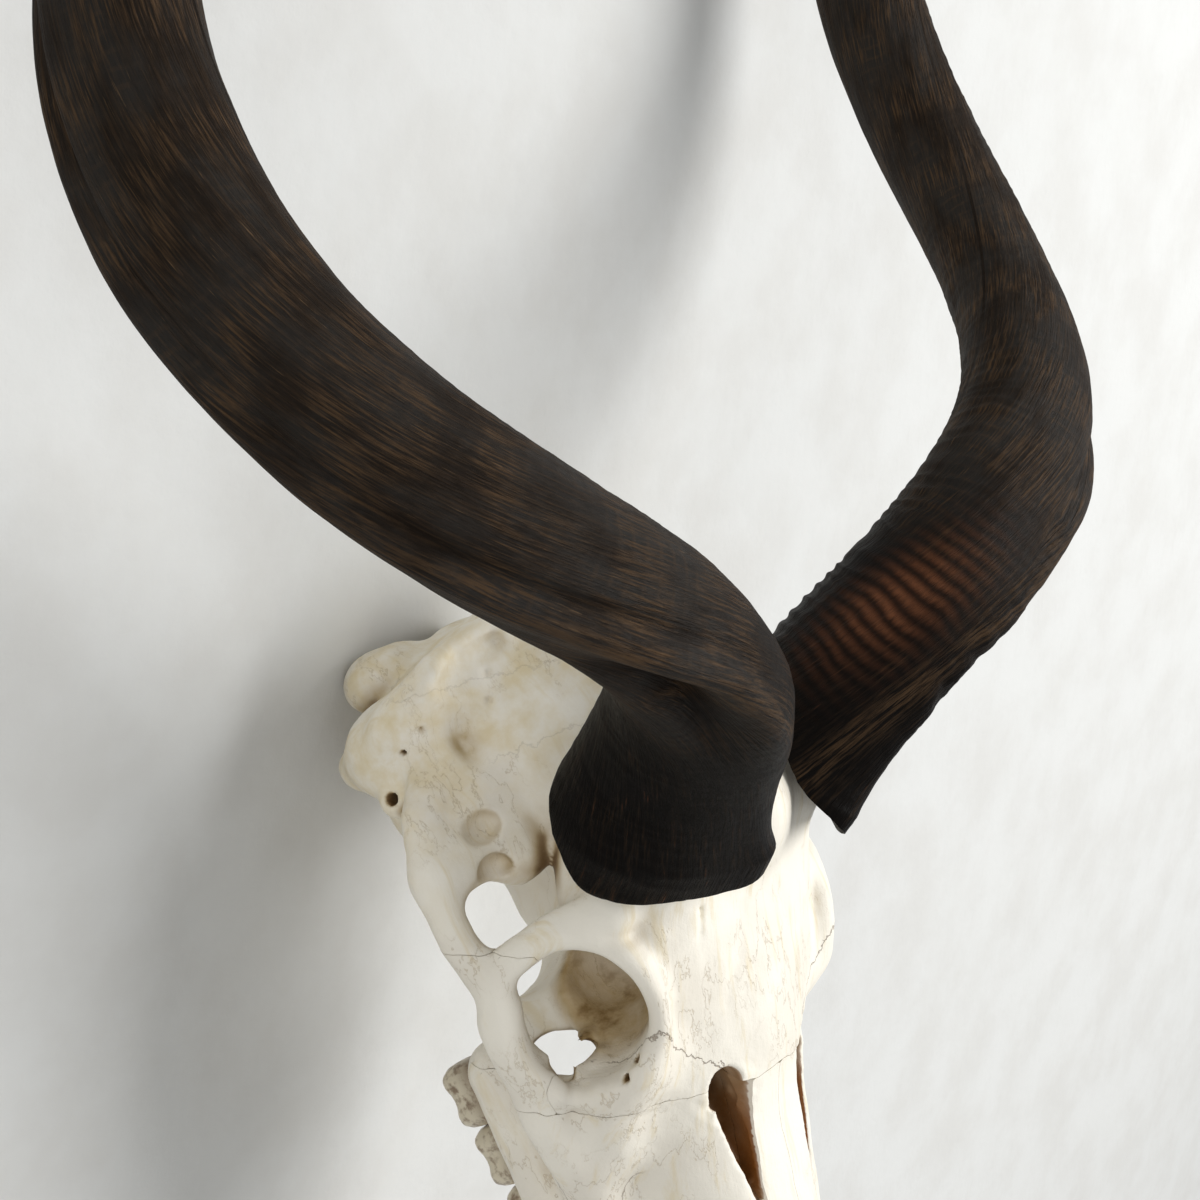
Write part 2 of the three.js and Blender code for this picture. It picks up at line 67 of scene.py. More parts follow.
def makePiece(name, points, faces, finish, sharpDeg):
    mesh = bpy.data.meshes.new(name)
    mesh.from_pydata(points, [], faces)
    mesh.transform(toFloor)
    mesh.materials.append(finish)
    mesh.shade_smooth()
    mesh.set_sharp_from_angle(angle=math.radians(sharpDeg))
    return addObject(name, mesh)


def keepValue(mesh, name, values):
    kept = mesh.attributes.new(name, "FLOAT", "POINT")
    kept.data.foreach_set("value", np.ascontiguousarray(values, np.float32))


def fitOut(piece, nodes):
    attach(piece, "root")
    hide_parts(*nodes)


# Node trees: a Reading is a number in a tree, and arithmetic on it adds Math nodes.
class Reading:
    def __init__(self, tree, socket):
        self.tree = tree
        self.socket = socket

    def step(self, operation, *others):
        node = self.tree.nodes.new("ShaderNodeMath")
        node.operation = operation
        for slot, value in zip(node.inputs, (self, *others)):
            feed(self.tree, slot, value)
        return Reading(self.tree, node.outputs[0])

    def __add__(self, other):
        return self.step("ADD", other)

    def __sub__(self, other):
        return self.step("SUBTRACT", other)

    def __mul__(self, other):
        return self.step("MULTIPLY", other)

    def __truediv__(self, other):
        return self.step("DIVIDE", other)

    def __rsub__(self, other):
        return (self * -1.0) + other

    def __rtruediv__(self, other):
        return self.step("POWER", -1.0) * other

    __radd__ = __add__
    __rmul__ = __mul__

    def size(self):
        return self.step("ABSOLUTE")

    def power(self, index):
        return self.step("POWER", index)

    def wave(self):
        return self.step("SINE")

    def bump(self, middle, width):  # a smooth bump, 1 at the middle
        away = (self - middle) / width
        return (away * away * -1.0).step("EXPONENT")

    def between(self, low, high):  # 0 at low, 1 at high, smooth
        node = self.tree.nodes.new("ShaderNodeMapRange")
        node.interpolation_type = "SMOOTHSTEP"
        feed(self.tree, node.inputs["Value"], self)
        feed(self.tree, node.inputs["From Min"], low)
        feed(self.tree, node.inputs["From Max"], high)
        return Reading(self.tree, node.outputs["Result"])


def feed(tree, slot, value):
    if isinstance(value, Reading):
        tree.links.new(value.socket, slot)
    elif isinstance(value, bpy.types.NodeSocket):
        tree.links.new(value, slot)
    else:
        slot.default_value = value


def addNode(tree, kind, settings=None, **feeds):
    node = tree.nodes.new(kind)
    for name, value in (settings or {}).items():
        setattr(node, name, value)
    for name, value in feeds.items():
        feed(tree, node.inputs[name.replace("_", " ")], value)
    return node


def noiseIn(tree, place, size, detail, rough=0.5, stretch=None, seed=None):
    if stretch:
        spread = addNode(tree, "ShaderNodeVectorMath", {"operation": "MULTIPLY"})
        feed(tree, spread.inputs[0], place)
        spread.inputs[1].default_value = stretch
        place = spread.outputs[0]
    settings = {"noise_dimensions": "3D" if seed is None else "4D"}
    node = addNode(tree, "ShaderNodeTexNoise", settings, Vector=place, Scale=1.0 / size,
                   Detail=detail, Roughness=rough)
    if seed is not None:
        feed(tree, node.inputs["W"], seed)
    return Reading(tree, node.outputs[0])


def grains(tree, place, table, seed=None):  # a noise for each row of a table
    return [noiseIn(tree, place, *row, seed=seed) for row in table.values()]


def mixColour(tree, share, first, second):
    node = addNode(tree, "ShaderNodeMix", {"data_type": "RGBA", "clamp_factor": True})
    feed(tree, node.inputs["Factor"], share)
    feed(tree, [s for s in node.inputs if s.name == "A" and s.type == "RGBA"][0], first)
    feed(tree, [s for s in node.inputs if s.name == "B" and s.type == "RGBA"][0], second)
    return [s for s in node.outputs if s.type == "RGBA"][0]


def coated(tree, look, base, coats):  # the base colour under coats, each a share and a colour's name
    colour = look[base]
    for share, name in coats:
        colour = mixColour(tree, share, colour, look[name])
    return colour


def paint(red, green, blue):  # screen colour 0 to 255 as the shader's own scale
    def straight(value):
        value = value / 255.0
        return value / 12.92 if value <= 0.04045 else ((value + 0.055) / 1.055) ** 2.4
    return (straight(red), straight(green), straight(blue), 1.0)


def newFinish(name):
    finish = bpy.data.materials.new(name)
    finish.use_nodes = True
    tree = finish.node_tree
    return finish, tree, tree.nodes["Principled BSDF"]


def skullPlace(tree):  # object coordinates turned back into the skull's frame, in millimetres
    where = addNode(tree, "ShaderNodeTexCoord").outputs["Object"]
    back = toFloor.inverted()
    node = addNode(tree, "ShaderNodeMapping", Vector=where)
    node.inputs["Location"].default_value = back.to_translation()
    node.inputs["Rotation"].default_value = (math.radians(rest["pitchDeg"]), 0.0, 0.0)
    node.inputs["Scale"].default_value = (1 / mm, 1 / mm, 1 / mm)
    return node.outputs[0]


def keptValue(tree, name):
    node = addNode(tree, "ShaderNodeAttribute", {"attribute_name": name})
    return Reading(tree, node.outputs["Fac"])


def setBump(tree, shader, height, strength, distance=mm):
    node = addNode(tree, "ShaderNodeBump", Height=height, Strength=strength, Distance=distance)
    tree.links.new(node.outputs[0], shader.inputs["Normal"])


# Camera: the photograph's view of the skull, kept as the skull lies on the floor.
view = {
    "at": (-642.806, 52.133, 628.307),
    "right": (0.5734449, -0.4521895, 0.6831439),
    "up": (0.2096486, 0.8871033, 0.4112119),
    "back": (-0.7919649, -0.0925872, 0.6035058),
    "lens": 66.0,
    "sensor": 36.0,
    "clip": (0.02, 60.0),
}


def makeCamera():
    data = bpy.data.cameras.new("view")
    data.lens = view["lens"]
    data.sensor_width = view["sensor"]
    data.clip_start, data.clip_end = view["clip"]
    camera = addObject("view", data)
    axes = Matrix((view["right"], view["up"], view["back"])).transposed().to_4x4()
    turn = Matrix.Rotation(-math.radians(rest["pitchDeg"]), 4, "X")
    camera.matrix_world = Matrix.Translation(toFloor @ Vector(view["at"])) @ turn @ axes
    bpy.context.scene.camera = camera


makeCamera()
print("camera set")


# Bone shapes: distance fields on arrays of places, millimetres.
def ball(at, radii, pitch=0.0, power=2.0):
    s, c = math.sin(math.radians(pitch)), math.cos(math.radians(pitch))

    def reach(x, y, z):
        v, w = y - at[1], z - at[2]
        across = np.abs(x - at[0]) / radii[0]
        along = np.abs(v * c + w * s) / radii[1]
        over = np.abs(w * c - v * s) / radii[2]
        if power > 2:
            return ((across ** power + along ** power + over ** power) ** (1 / power) - 1) * min(radii)
        k = np.sqrt(across ** 2 + along ** 2 + over ** 2)
        slope = np.sqrt((across / radii[0]) ** 2 + (along / radii[1]) ** 2 + (over / radii[2]) ** 2)
        return k * (k - 1) / np.maximum(slope, 1e-6)
    return reach


def rod(points, radii, across=None, squash=1.0):
    side = unit(across) if across else None

    def reach(x, y, z):
        least = None
        for a, b, thickA, thickB in zip(points[:-1], points[1:], radii[:-1], radii[1:]):
            edge = np.subtract(b, a).astype(float)
            q = [x - a[0], y - a[1], z - a[2]]
            t = np.clip((q[0] * edge[0] + q[1] * edge[1] + q[2] * edge[2]) / (edge @ edge), 0, 1)
            v = [q[m] - t * edge[m] for m in range(3)]
            if side is not None:
                k = (v[0] * side[0] + v[1] * side[1] + v[2] * side[2]) * (squash - 1)
                v = [v[m] + k * side[m] for m in range(3)]
            gap = np.sqrt(v[0] ** 2 + v[1] ** 2 + v[2] ** 2) - (thickA + (thickB - thickA) * t)
            least = gap if least is None else np.minimum(least, gap)
        return least
    return reach


def ring(at, facing, radius, thick, squash=1.0):
    n = unit(facing)

    def reach(x, y, z):
        q = [x - at[0], y - at[1], z - at[2]]
        h = q[0] * n[0] + q[1] * n[1] + q[2] * n[2]
        flat = q[0] ** 2 + q[1] ** 2 + q[2] ** 2 - h ** 2
        out = np.sqrt(np.maximum(flat, 0)) - radius
        return np.sqrt((h * squash) ** 2 + out ** 2) - thick
    return reach


def glide(at, stations, values):
    at = np.asarray(at, np.float32)
    stations = np.asarray(stations, float)
    values = np.asarray(values, float)
    last = len(stations) - 1
    before = np.maximum(np.arange(last + 1) - 1, 0)
    after = np.minimum(np.arange(last + 1) + 1, last)
    slopes = (values[after] - values[before]) / (stations[after] - stations[before])
    held = np.clip(at, stations[0], stations[-1])
    i = np.clip(np.searchsorted(stations, held, side="right") - 1, 0, last - 1)
    h = stations[i + 1] - stations[i]
    t = (held - stations[i]) / h
    rise = 3 * t ** 2 - 2 * t ** 3
    ease = (t ** 3 - 2 * t ** 2 + t) * h * slopes[i] + (t ** 3 - t ** 2) * h * slopes[i + 1]
    return ((1 - rise) * values[i] + rise * values[i + 1] + ease).astype(np.float32)


face = {
    "at": (-200, -185, -150, -110, -70, -35, 0, 10),  # stations along the muzzle
    "wide": (22, 25, 31, 39, 47, 53, 50, 49),
    "roof": (60, 66, 78, 91, 105, 119, 131, 134),
    "floor": (20, 19, 17, 18, 18, 20, 32, 36),
    "taper": 0.14,
    "power": 2.6,
}


def muzzle(x, y, z):
    wide = glide(y, face["at"], face["wide"])
    roof = glide(y, face["at"], face["roof"])
    floor = glide(y, face["at"], face["floor"])
    half = (roof - floor) / 2
    level = (z - (roof + floor) / 2) / half
    u = np.abs(x) / (wide * (1 - face["taper"] * np.clip(level, -1, 1)))
    shell = (u ** face["power"] + np.abs(level) ** face["power"]) ** (1 / face["power"]) - 1
    shell = shell * np.minimum(wide, half)
    return np.maximum(np.maximum(shell, face["at"][0] - y), y - face["at"][-1])


socket = {"at": (69, -3, 99), "facing": (0.927, -0.195, 0.319), "rim": 29.6, "lip": 3.3}
horn = {
    "root": (-52.9, 33.6, 152.8),
    "riseDeg": 31.0,
    "splayDeg": 25.5,
    "reach": 888.0,
    "radius": 87.9,  # of the helix
    "startDeg": -154.0,
    "turns": 1.69,
    "opens": 0.49,
    "fades": 0.5,
    "wide": 56.5,
    "taper": 0.62,
    "flare": 12.0,
    "flareFade": 0.04,
    "tipRadius": 0.5,
    "crowd": 1.25,  # rows stand closer towards the foot
    "keelDeg": 22.0,
    "keelLagDeg": 30.0,
    "foot": (-45.0, 50.0, 154.0),
    "heading": (-0.25, 0.42, 0.87),
    "footBlend": 0.12,
    "footEnd": -0.045,
    "crestAlong": (0.0, 0.05, 0.09, 0.13, 0.18, 0.21, 0.24, 0.275, 0.33, 0.6),  # where the keel wanders
    "crestTurn": (-0.52, -0.40, -0.20, 0.10, 0.06, 0.0, 0.08, 0.24, 0.3, 0.0),
    "rimNormal": (-0.476, -0.064, 0.877),
    "rows": 560,
    "sides": 120,
    "unroll": 30.0,  # radius of the roll on which noise is laid round the horn
    "lengths": ("base", "lower", "upper", "tip"),
}


def onSocket(distance):
    return tuple(p + f * distance for p, f in zip(socket["at"], socket["facing"]))


def onStump(distance):  # along the left horn's core
    foot = np.array(horn["foot"]) * (-1, 1, 1)
    return tuple(foot + np.array(horn["heading"]) * (-1, 1, 1) * distance)


# The bones of the left half, in the order in which they are joined (+1) and hollowed (-1).
bones = [
    (1, ball((0, 88, 98), (46, 60, 45), pitch=-22), 1),  # braincase
    (1, ball((0, 6, 112), (60, 58, 27), pitch=30, power=2.6), 14),  # brow
    (1, ball((0, 0, 86), (32, 60, 46)), 14),  # core between the eyes
    (1, rod((onStump(-40), onStump(-15)), (27, 26), (-0.67, 0.69, -0.14), 1.3), 12),  # horn stump
    (1, rod(((0, 40, 146), (0, 74, 150), (0, 112, 128)), (24, 22, 22)), 16),  # roof between the horns
    (1, rod(((0, 40, 56), (0, 139, 50.5)), (17, 19)), 14),  # base of the skull
    (1, ball((0, 122, 82), (56, 20, 36), pitch=8), 12),  # back of the skull
    (1, ball((54, 112, 66), (13, 17, 22)), 10),  # behind the ear
    (1, muzzle, 16),
    (1, rod(((43, -12, 28), (43, -60, 27), (39, -105, 26), (32, -142, 24)),
            (13, 14, 13, 9)), 9),  # tooth sockets
    (-1, ball((0, -85, 2), (30, 95, 22)), 8),  # palate
    (-1, ball((74, 56, 96), (27, 30, 62)), 8),  # hollow at the temple
    (1, rod(((76, 64, 77), (48, 80, 82)), (9, 16)), 10),  # root of the cheek arch
    (1, rod(((70, 62, 80), (48, 60, 86)), (9, 13)), 10),  # shelf behind the temple
    (1, rod(((57, -26, 102), (59, -33, 86), (54, -50, 70)), (10, 10, 9)), 16),  # tear bone before the socket
    (-1, rod(((93, -5, 105), (37, 8, 94)), (34, 19)), 3),  # eye socket
    (-1, rod(((66, 10, 90), (65, 40, 90)), (15, 14)), 5),  # way from the socket to the temple
    (-1, ball((60, 18, 62), (20, 48, 27)), 6),  # open floor of the socket
    (1, ring(onSocket(-1), socket["facing"], socket["rim"], socket["lip"], 0.8), 6),
    (1, rod(((60, 26, 126), (71, 29, 108), (79, 25, 84)), (9, 6.2, 6.4), (0.9, 0.3, 0.3), 1.25), 6),  # bar
    (1, rod(((79, 14, 78), (81, 40, 75), (80, 62, 75), (73, 84, 78), (56, 98, 78)), (7, 7.4, 7.6, 8.5, 10),
            (1, 0, 0), 1.2), 7),  # cheek arch
    (1, rod(((79, 6, 73), (69, -30, 64), (52, -66, 52)), (6.5, 10, 11), (1, 0.3, 0), 1.2), 10),  # cheek ridge
    (1, rod(((80.5, 18, 82), (80, -5, 72), (73.5, -24, 79)), (3.2, 3.8, 3.2)), 3),  # raised lower lip
    (-1, rod(((60, -13, 80), (46, -15, 66), (34, -16, 54), (8, -20, 31)), (4.6, 8, 9, 9),
             (-0.573, -0.452, 0.683), 0.62), 2),  # broken floor of the socket
    (1, ball((26, 141, 47), (15, 12.6, 16.8)), 10),  # joint with the neck
    (1, rod(((48, 114, 54), (46, 114, 36)), (13, 9)), 14),  # process behind the ear
    (1, ball((34, 90, 46), (14, 17, 15)), 16),  # ear capsule
    (1, rod(((44, 94, 60), (62, 95, 61)), (9.5, 6.6)), 6),  # ear canal
    (1, rod(((0, 130, 116), (30, 134, 112), (50, 130, 96), (60, 118, 74)),
            (8, 7.5, 7.5, 8)), 8),  # nape crest
    (-1, rod(((0, 118, 52), (0, 170, 50)), (13, 15)), 4),  # hole for the spinal cord
    (-1, rod(((0, 24, 38), (0, -30, 32)), (14, 11)), 6),  # back of the nose passage
    (1, rod(((24, -174, 48), (21, -205, 36), (17, -235, 25), (12, -254, 20)),
            (9, 8, 8, 8)), 8),  # front blade
    (1, rod(((9, -250, 19), (8, -190, 21)), (8, 8), (0, 0, 1), 1.25), 8),  # front plate
    (-1, rod(((0, -240, 42), (0, -190, 43), (0, -150, 48), (0, -112, 52)), (14, 15, 17, 13),
             (0, 0, 1), 0.78), 4),  # nose passage
    (1, rod(((8, -214, 59), (9, -196, 64), (10, -165, 71)), (6.5, 8, 8)), 5),  # tips of the nose bones
]


def blendIn(field, sign, gap, blend):
    a = sign * field
    h = np.maximum(blend - np.abs(a - gap), 0) / blend
    return sign * (np.minimum(a, gap) - h * h * blend * 0.25)


# Fine hollows on both halves: points, radii and blend, middle and reach of the place, then any flattening.
fissure = ((26, -50, 108), (22.5, -70, 102), (20.5, -84, 97.8), (19.4, -98, 93.6))
fineHollows = [
    (fissure, (7.4, 5.0, 3.0, 1.0), 1.2, fissure[1], 50, (0.5, -0.25, 0.83), 0.24),  # slit beside the nose
    (((57, 95, 62), (76, 97, 63)), (1.9, 2.4), 2, (70, 96, 61), 20),  # ear hole
    (((35.4, 12, 143), (36, 3, 138)), (1.0, 0.9), 2, (35, 8, 141), 14),  # slit in the brow
    (((10, 7, 147), (17, -8, 140), (27, -23, 130)), (0.8, 1.4, 0.7), 5, (18, -8, 139), 30),  # brow groove
    (((70, -22, 111), (60, -25, 109)), (2.2, 1.8), 1.5, (66, -23, 110), 12),  # tear holes
    (((72, -29, 105), (62, -29, 104)), (1.7, 1.4), 1.5, (67, -29, 105), 12),
    (((62.5, 72, 92.5),), (8.6, 5.8, 5.6), 3, (64, 72, 92), 14),  # pits at the root of the arch
    (((62, 57, 89),), (7.0, 4.8, 4.8), 3.5, (62, 56, 88), 14),
    (((66, 112, 87), (56, 114, 84)), (1.3, 1.1), 1.5, (61, 113, 85), 12),  # nape holes
    (((46, 111, 107), (42, 112, 105)), (0.9, 0.7), 2.5, (42, 112, 105), 12),
    (((44, 121, 111), (40, 121, 108)), (0.8, 0.7), 2.5, (40, 121, 108), 12),
    (((53, 122, 101), (47, 128, 108), (36, 130, 114)), (4.0, 5.0, 3.0), 5, (47, 127, 107), 22),  # long pit
    (((69, 108, 78), (60, 110, 76)), (1.2, 1.0), 1.0, (65, 109, 77), 10),
    (((48, -128, 48), (34, -116, 52)), (3.4, 3.0), 3, (42, -122, 50), 16),  # nerve hole
    (((10, -228, 18), (9, -196, 19)), (2.6, 2.6), 2, (10, -212, 18), 26, (0, 0, 1), 0.4),  # palate slit
]


def fineHollow(points, radii, side, across=None, squash=1.0):  # one point makes a ball, more make a rod
    points = [(x * side, y, z) for x, y, z in points]
    if len(points) == 1:
        return ball(points[0], radii)
    if across:
        across = (across[0] * side, across[1], across[2])
    return rod(points, radii, across, squash)


grain = {"seed": 5, "cells": 32, "shift": 100.0}
grainTable = np.random.default_rng(grain["seed"]).uniform(-1, 1, (grain["cells"],) * 3).astype(np.float32)


corners = [(a, b, c) for a in (0, 1) for b in (0, 1) for c in (0, 1)]  # of a cell


def grainAt(x, y, z, size):  # smooth random swell, -1 to 1
    total = 0.0
    cells = []
    for value in (x, y, z):
        scaled = value / size + grain["shift"]
        whole = np.floor(scaled)
        part = scaled - whole
        cells.append((whole.astype(np.int32) % grain["cells"], part * part * (3 - 2 * part)))
    for corner in corners:
        share = 1.0
        spots = []
        for (whole, part), up in zip(cells, corner):
            share = share * (part if up else 1 - part)
            spots.append((whole + up) % grain["cells"])
        total = total + share * grainTable[tuple(spots)]
    return total


skull = {
    "step": 1.35,  # spacing of the samples
    "half": 98.0,
    "y": (-270.0, 166.0),
    "z": (-10.0, 190.0),
    "skin": 5.0,  # depth either side of the surface that gets relief
    "swell": ((24.0, 0.65), (9.0, 0.30), (4.2, 0.14)),  # size and height of the relief
    "gap": 0.24,  # between neighbouring bones
    "relax": 0.45,
    "relaxTurns": 2,
    "settleTurns": 4,
    "closest": 0.02,  # points nearer than this are parted
    "part": 0.2,
    "pinchFill": -0.05,
    "pinchTurns": 24,
    "sharpDeg": 55,
}


def sampleSkull():
    step = skull["step"]
    xs = np.arange(0, skull["half"], step, dtype=np.float32)
    ys = np.arange(skull["y"][0], skull["y"][1], step, dtype=np.float32)
    zs = np.arange(skull["z"][0], skull["z"][1], step, dtype=np.float32)
    x, y, z = np.meshgrid(xs, ys, zs, indexing="ij")
    half = np.full(x.shape, 1e3, np.float32)
    for sign, shape, blend in bones:
        half = blendIn(half, sign, shape(x, y, z).astype(np.float32), np.float32(blend))
    field = np.concatenate([half[:0:-1], half])
    xs = np.concatenate([-xs[:0:-1], xs])
    low = np.array([xs[0], ys[0], zs[0]], float)
    for points, radii, blend, middle, reach, *flat in fineHollows:
        for side in (-1, 1):
            at = np.array(middle, float) * (side, 1, 1)
            first = np.clip(np.floor((at - reach - low) / step).astype(int), 0, None)
            end = np.minimum(np.ceil((at + reach - low) / step).astype(int) + 1, field.shape)
            box = tuple(slice(a, b) for a, b in zip(first, end))
            spot = np.meshgrid(xs[box[0]], ys[box[1]], zs[box[2]], indexing="ij")
            gap = fineHollow(points, radii, side, *flat)(*spot).astype(np.float32)
            field[box] = blendIn(field[box], -1, gap, np.float32(blend))
    close = np.argwhere(np.abs(field) < skull["skin"])
    x, y, z = (low + close * step).T.astype(np.float32)
    lift = sum(height * grainAt(x, y, z, size) for size, height in skull["swell"])
    lift = lift + raggedEdges(x, y, z)
    field[tuple(close.T)] += lift
    return field, low


ragged = (  # edges broken off in jagged lines: middle, reach and height, then shift and size of the noise
    ((58, -12, 78), (14, 20, 14), 4.2, (7, 0), 5.2),  # socket floor
    ((25, -54, 107), (12, 9, 12), 1.8, (0, 13), 3.4),  # top of the slit beside the nose
)


def raggedEdges(x, y, z):
    lift = 0.0
    for middle, reach, height, shift, size in ragged:
        away = [(v - m) / r for v, m, r in zip((np.abs(x), y, z), middle, reach)]
        near = np.exp(-(away[0] ** 2 + away[1] ** 2 + away[2] ** 2))
        lift = lift + near * height * grainAt(x + shift[0], y + shift[1], z, size)
    return lift


field, fieldLow = sampleSkull()
print("skull sampled", field.shape)


def readField(points):  # the field between its samples
    scaled = (points - fieldLow) / skull["step"]
    scaled = np.clip(scaled, 0, np.array(field.shape) - 1.001)
    whole = scaled.astype(int)
    part = scaled - whole
    total = 0.0
    for corner in corners:
        share = np.prod(np.abs(1 - np.array(corner) - part), axis=1)
        total = total + share * field[tuple((whole + corner).T)]
    return total


def slopeOf(reader, points, reach):
    ways = np.eye(3) * reach
    return np.stack([(reader(points + w) - reader(points - w)) / (2 * reach) for w in ways], -1)


# Seams between the bones: a point and a way, with a jagged run along them.
seams = {
    "face": ((0, -50, 110), (0, -0.882, -0.471)),
    "nose": ((0, -200, 52), (0, -0.29, 0.957)),
    "noseHalfWide": 16.0,
    "front": ((0, -178, 50), (0, -0.86, -0.51)),
    "cheekInner": 57.0,
    "cheekBack": 36.0,
    "cheekTop": 103.0,
    "cheekSlope": ((0, 0, 90), (0, 0.46, -0.89)),
    "jag": 0.9,  # depth of the teeth of a seam
    "jagSize": 4.4,
}


def overPlane(p, plane):
    return (p - np.array(plane[0], float)) @ unit(plane[1])


jagHeld = {"points": None, "run": None}  # the last places asked for


def jagged(p, share=1.0):
    if jagHeld["points"] is not p:
        wander = grainAt(p[:, 0], p[:, 1], p[:, 2], 3 * seams["jagSize"])
        notch = grainAt(p[:, 0] + 9, p[:, 1], p[:, 2] + 31, seams["jagSize"])
        jagHeld["points"] = p
        jagHeld["run"] = seams["jag"] * (1.4 * wander + notch)
    return share * jagHeld["run"]


def faceSide(p):  # below 0 in the face
    return -overPlane(p, seams["face"]) + jagged(p)


def cheekSide(p, side):  # below 0 in that cheekbone
    runs = [
        seams["cheekInner"] - side * p[:, 0],
        p[:, 1] - seams["cheekBack"] + 0.5 * (p[:, 2] - 76) + jagged(p, 0.6),
        p[:, 2] - seams["cheekTop"] + jagged(p, 0.6),
        -overPlane(p, seams["cheekSlope"]) + jagged(p, 0.6),
    ]
    return np.max(runs, 0)


def noseSide(p):
    wide = np.abs(p[:, 0]) - seams["noseHalfWide"] + jagged(p, 0.5)
    return np.max([wide, -overPlane(p, seams["nose"]), faceSide(p)], 0)


def frontSide(p):
    return np.max([-overPlane(p, seams["front"]) + jagged(p, 0.5), faceSide(p)], 0)


def middleSide(p, side):  # below 0 on that side of the middle
    return -side * (p[:, 0] + 0.4 * jagged(p))


def craniumRegion(p):
    return np.max([-faceSide(p), -cheekSide(p, 1), -cheekSide(p, -1)], 0)


def cheekRegion(side):
    return lambda p: np.max([cheekSide(p, side), -faceSide(p)], 0)


def noseRegion(side):
    return lambda p: np.max([noseSide(p), middleSide(p, side)], 0)


def frontRegion(side):
    return lambda p: np.max([frontSide(p), -noseSide(p), middleSide(p, side)], 0)


def jawRegion(side):
    return lambda p: np.max([faceSide(p), -noseSide(p), -frontSide(p), middleSide(p, side)], 0)


def surfaceNet(values, low, step):
    counts = np.array(values.shape)
    inside = values < 0
    spans = [tuple(slice(o, n - 1 + o) for o, n in zip(c, counts)) for c in corners]
    filled = sum(inside[s].astype(np.int8) for s in spans)
    active = (filled > 0) & (filled < 8)
    cells = np.argwhere(active)
    number = np.full(active.shape, -1, np.int64)
    number[active] = np.arange(len(cells))
    held = {c: values[tuple((cells + c).T)] for c in corners}
    total = np.zeros((len(cells), 3))
    crossings = np.zeros(len(cells))
    for corner in corners:
        for axis in range(3):
            if corner[axis]:
                continue
            other = tuple(1 if m == axis else corner[m] for m in range(3))
            a, b = held[corner], held[other]
            crossed = (a < 0) != (b < 0)
            spot = np.tile(np.array(corner, float), (crossed.sum(), 1))
            spot[:, axis] += a[crossed] / (a[crossed] - b[crossed])
            total[crossed] += spot
            crossings[crossed] += 1
    points = low + (cells + total / crossings[:, None]) * step
    quads = []
    for axis in range(3):
        here = tuple(slice(0, n - 1) if m == axis else slice(1, n - 1) for m, n in enumerate(counts))
        there = tuple(slice(1, n) if m == axis else slice(1, n - 1) for m, n in enumerate(counts))
        first = inside[here]
        edges = np.argwhere(first != inside[there])
        outward = first[tuple(edges.T)]
        base = edges + [0 if m == axis else 1 for m in range(3)]
        u, w = (axis + 1) % 3, (axis + 2) % 3
        loop = []
        for du, dw in ((1, 1), (0, 1), (0, 0), (1, 0)):
            cell = base.copy()
            cell[:, u] -= du
            cell[:, w] -= dw
            loop.append(number[tuple(cell.T)])
        quad = np.stack(loop, 1)
        quad[~outward] = quad[~outward][:, ::-1]
        quads.append(quad)
    return points, np.concatenate(quads), cells


def joinPinches(values):  # fills samples where the bone would meet itself at an edge only
    for turn in range(skull["pinchTurns"]):
        inside = values < 0
        found = False
        for axis in range(3):
            u, w = [m for m in range(3) if m != axis]

            def shifted(du, dw):
                cut = [slice(None)] * 3
                cut[u] = slice(du, values.shape[u] - 1 + du)
                cut[w] = slice(dw, values.shape[w] - 1 + dw)
                return tuple(cut)
            a, b, c, d = (inside[shifted(*s)] for s in ((0, 0), (1, 0), (1, 1), (0, 1)))
            faults = (((a & c & ~b & ~d), ((1, 0), (0, 1))), ((b & d & ~a & ~c), ((0, 0), (1, 1))))
            for bad, ends in faults:
                if bad.any():
                    found = True
                    for end in ends:
                        block = values[shifted(*end)]
                        block[bad] = skull["pinchFill"]
        if not found:
            return


def relax(points, quads, free, share):
    total = np.zeros_like(points)
    count = np.zeros(len(points))
    for k in range(4):
        np.add.at(total, quads[:, k], points[quads[:, (k + 1) % 4]])
        np.add.at(count, quads[:, k], 1)
    middle = total / np.maximum(count, 1)[:, None]
    points[free] += share * (middle[free] - points[free])


def largestShell(points, quads):
    label = np.arange(len(points))
    while True:
        low = label[quads].min(1)
        fresh = label.copy()
        np.minimum.at(fresh, quads.ravel(), np.repeat(low, 4))
        fresh = fresh[fresh]
        if (fresh == label).all():
            break
        label = fresh
    keep = np.bincount(label).argmax()
    kept = label == keep
    number = np.cumsum(kept) - 1
    return kept, number[quads[kept[quads[:, 0]]]]


solid = np.argwhere(field < 2 * skull["step"])
solidAt = fieldLow + solid * skull["step"]


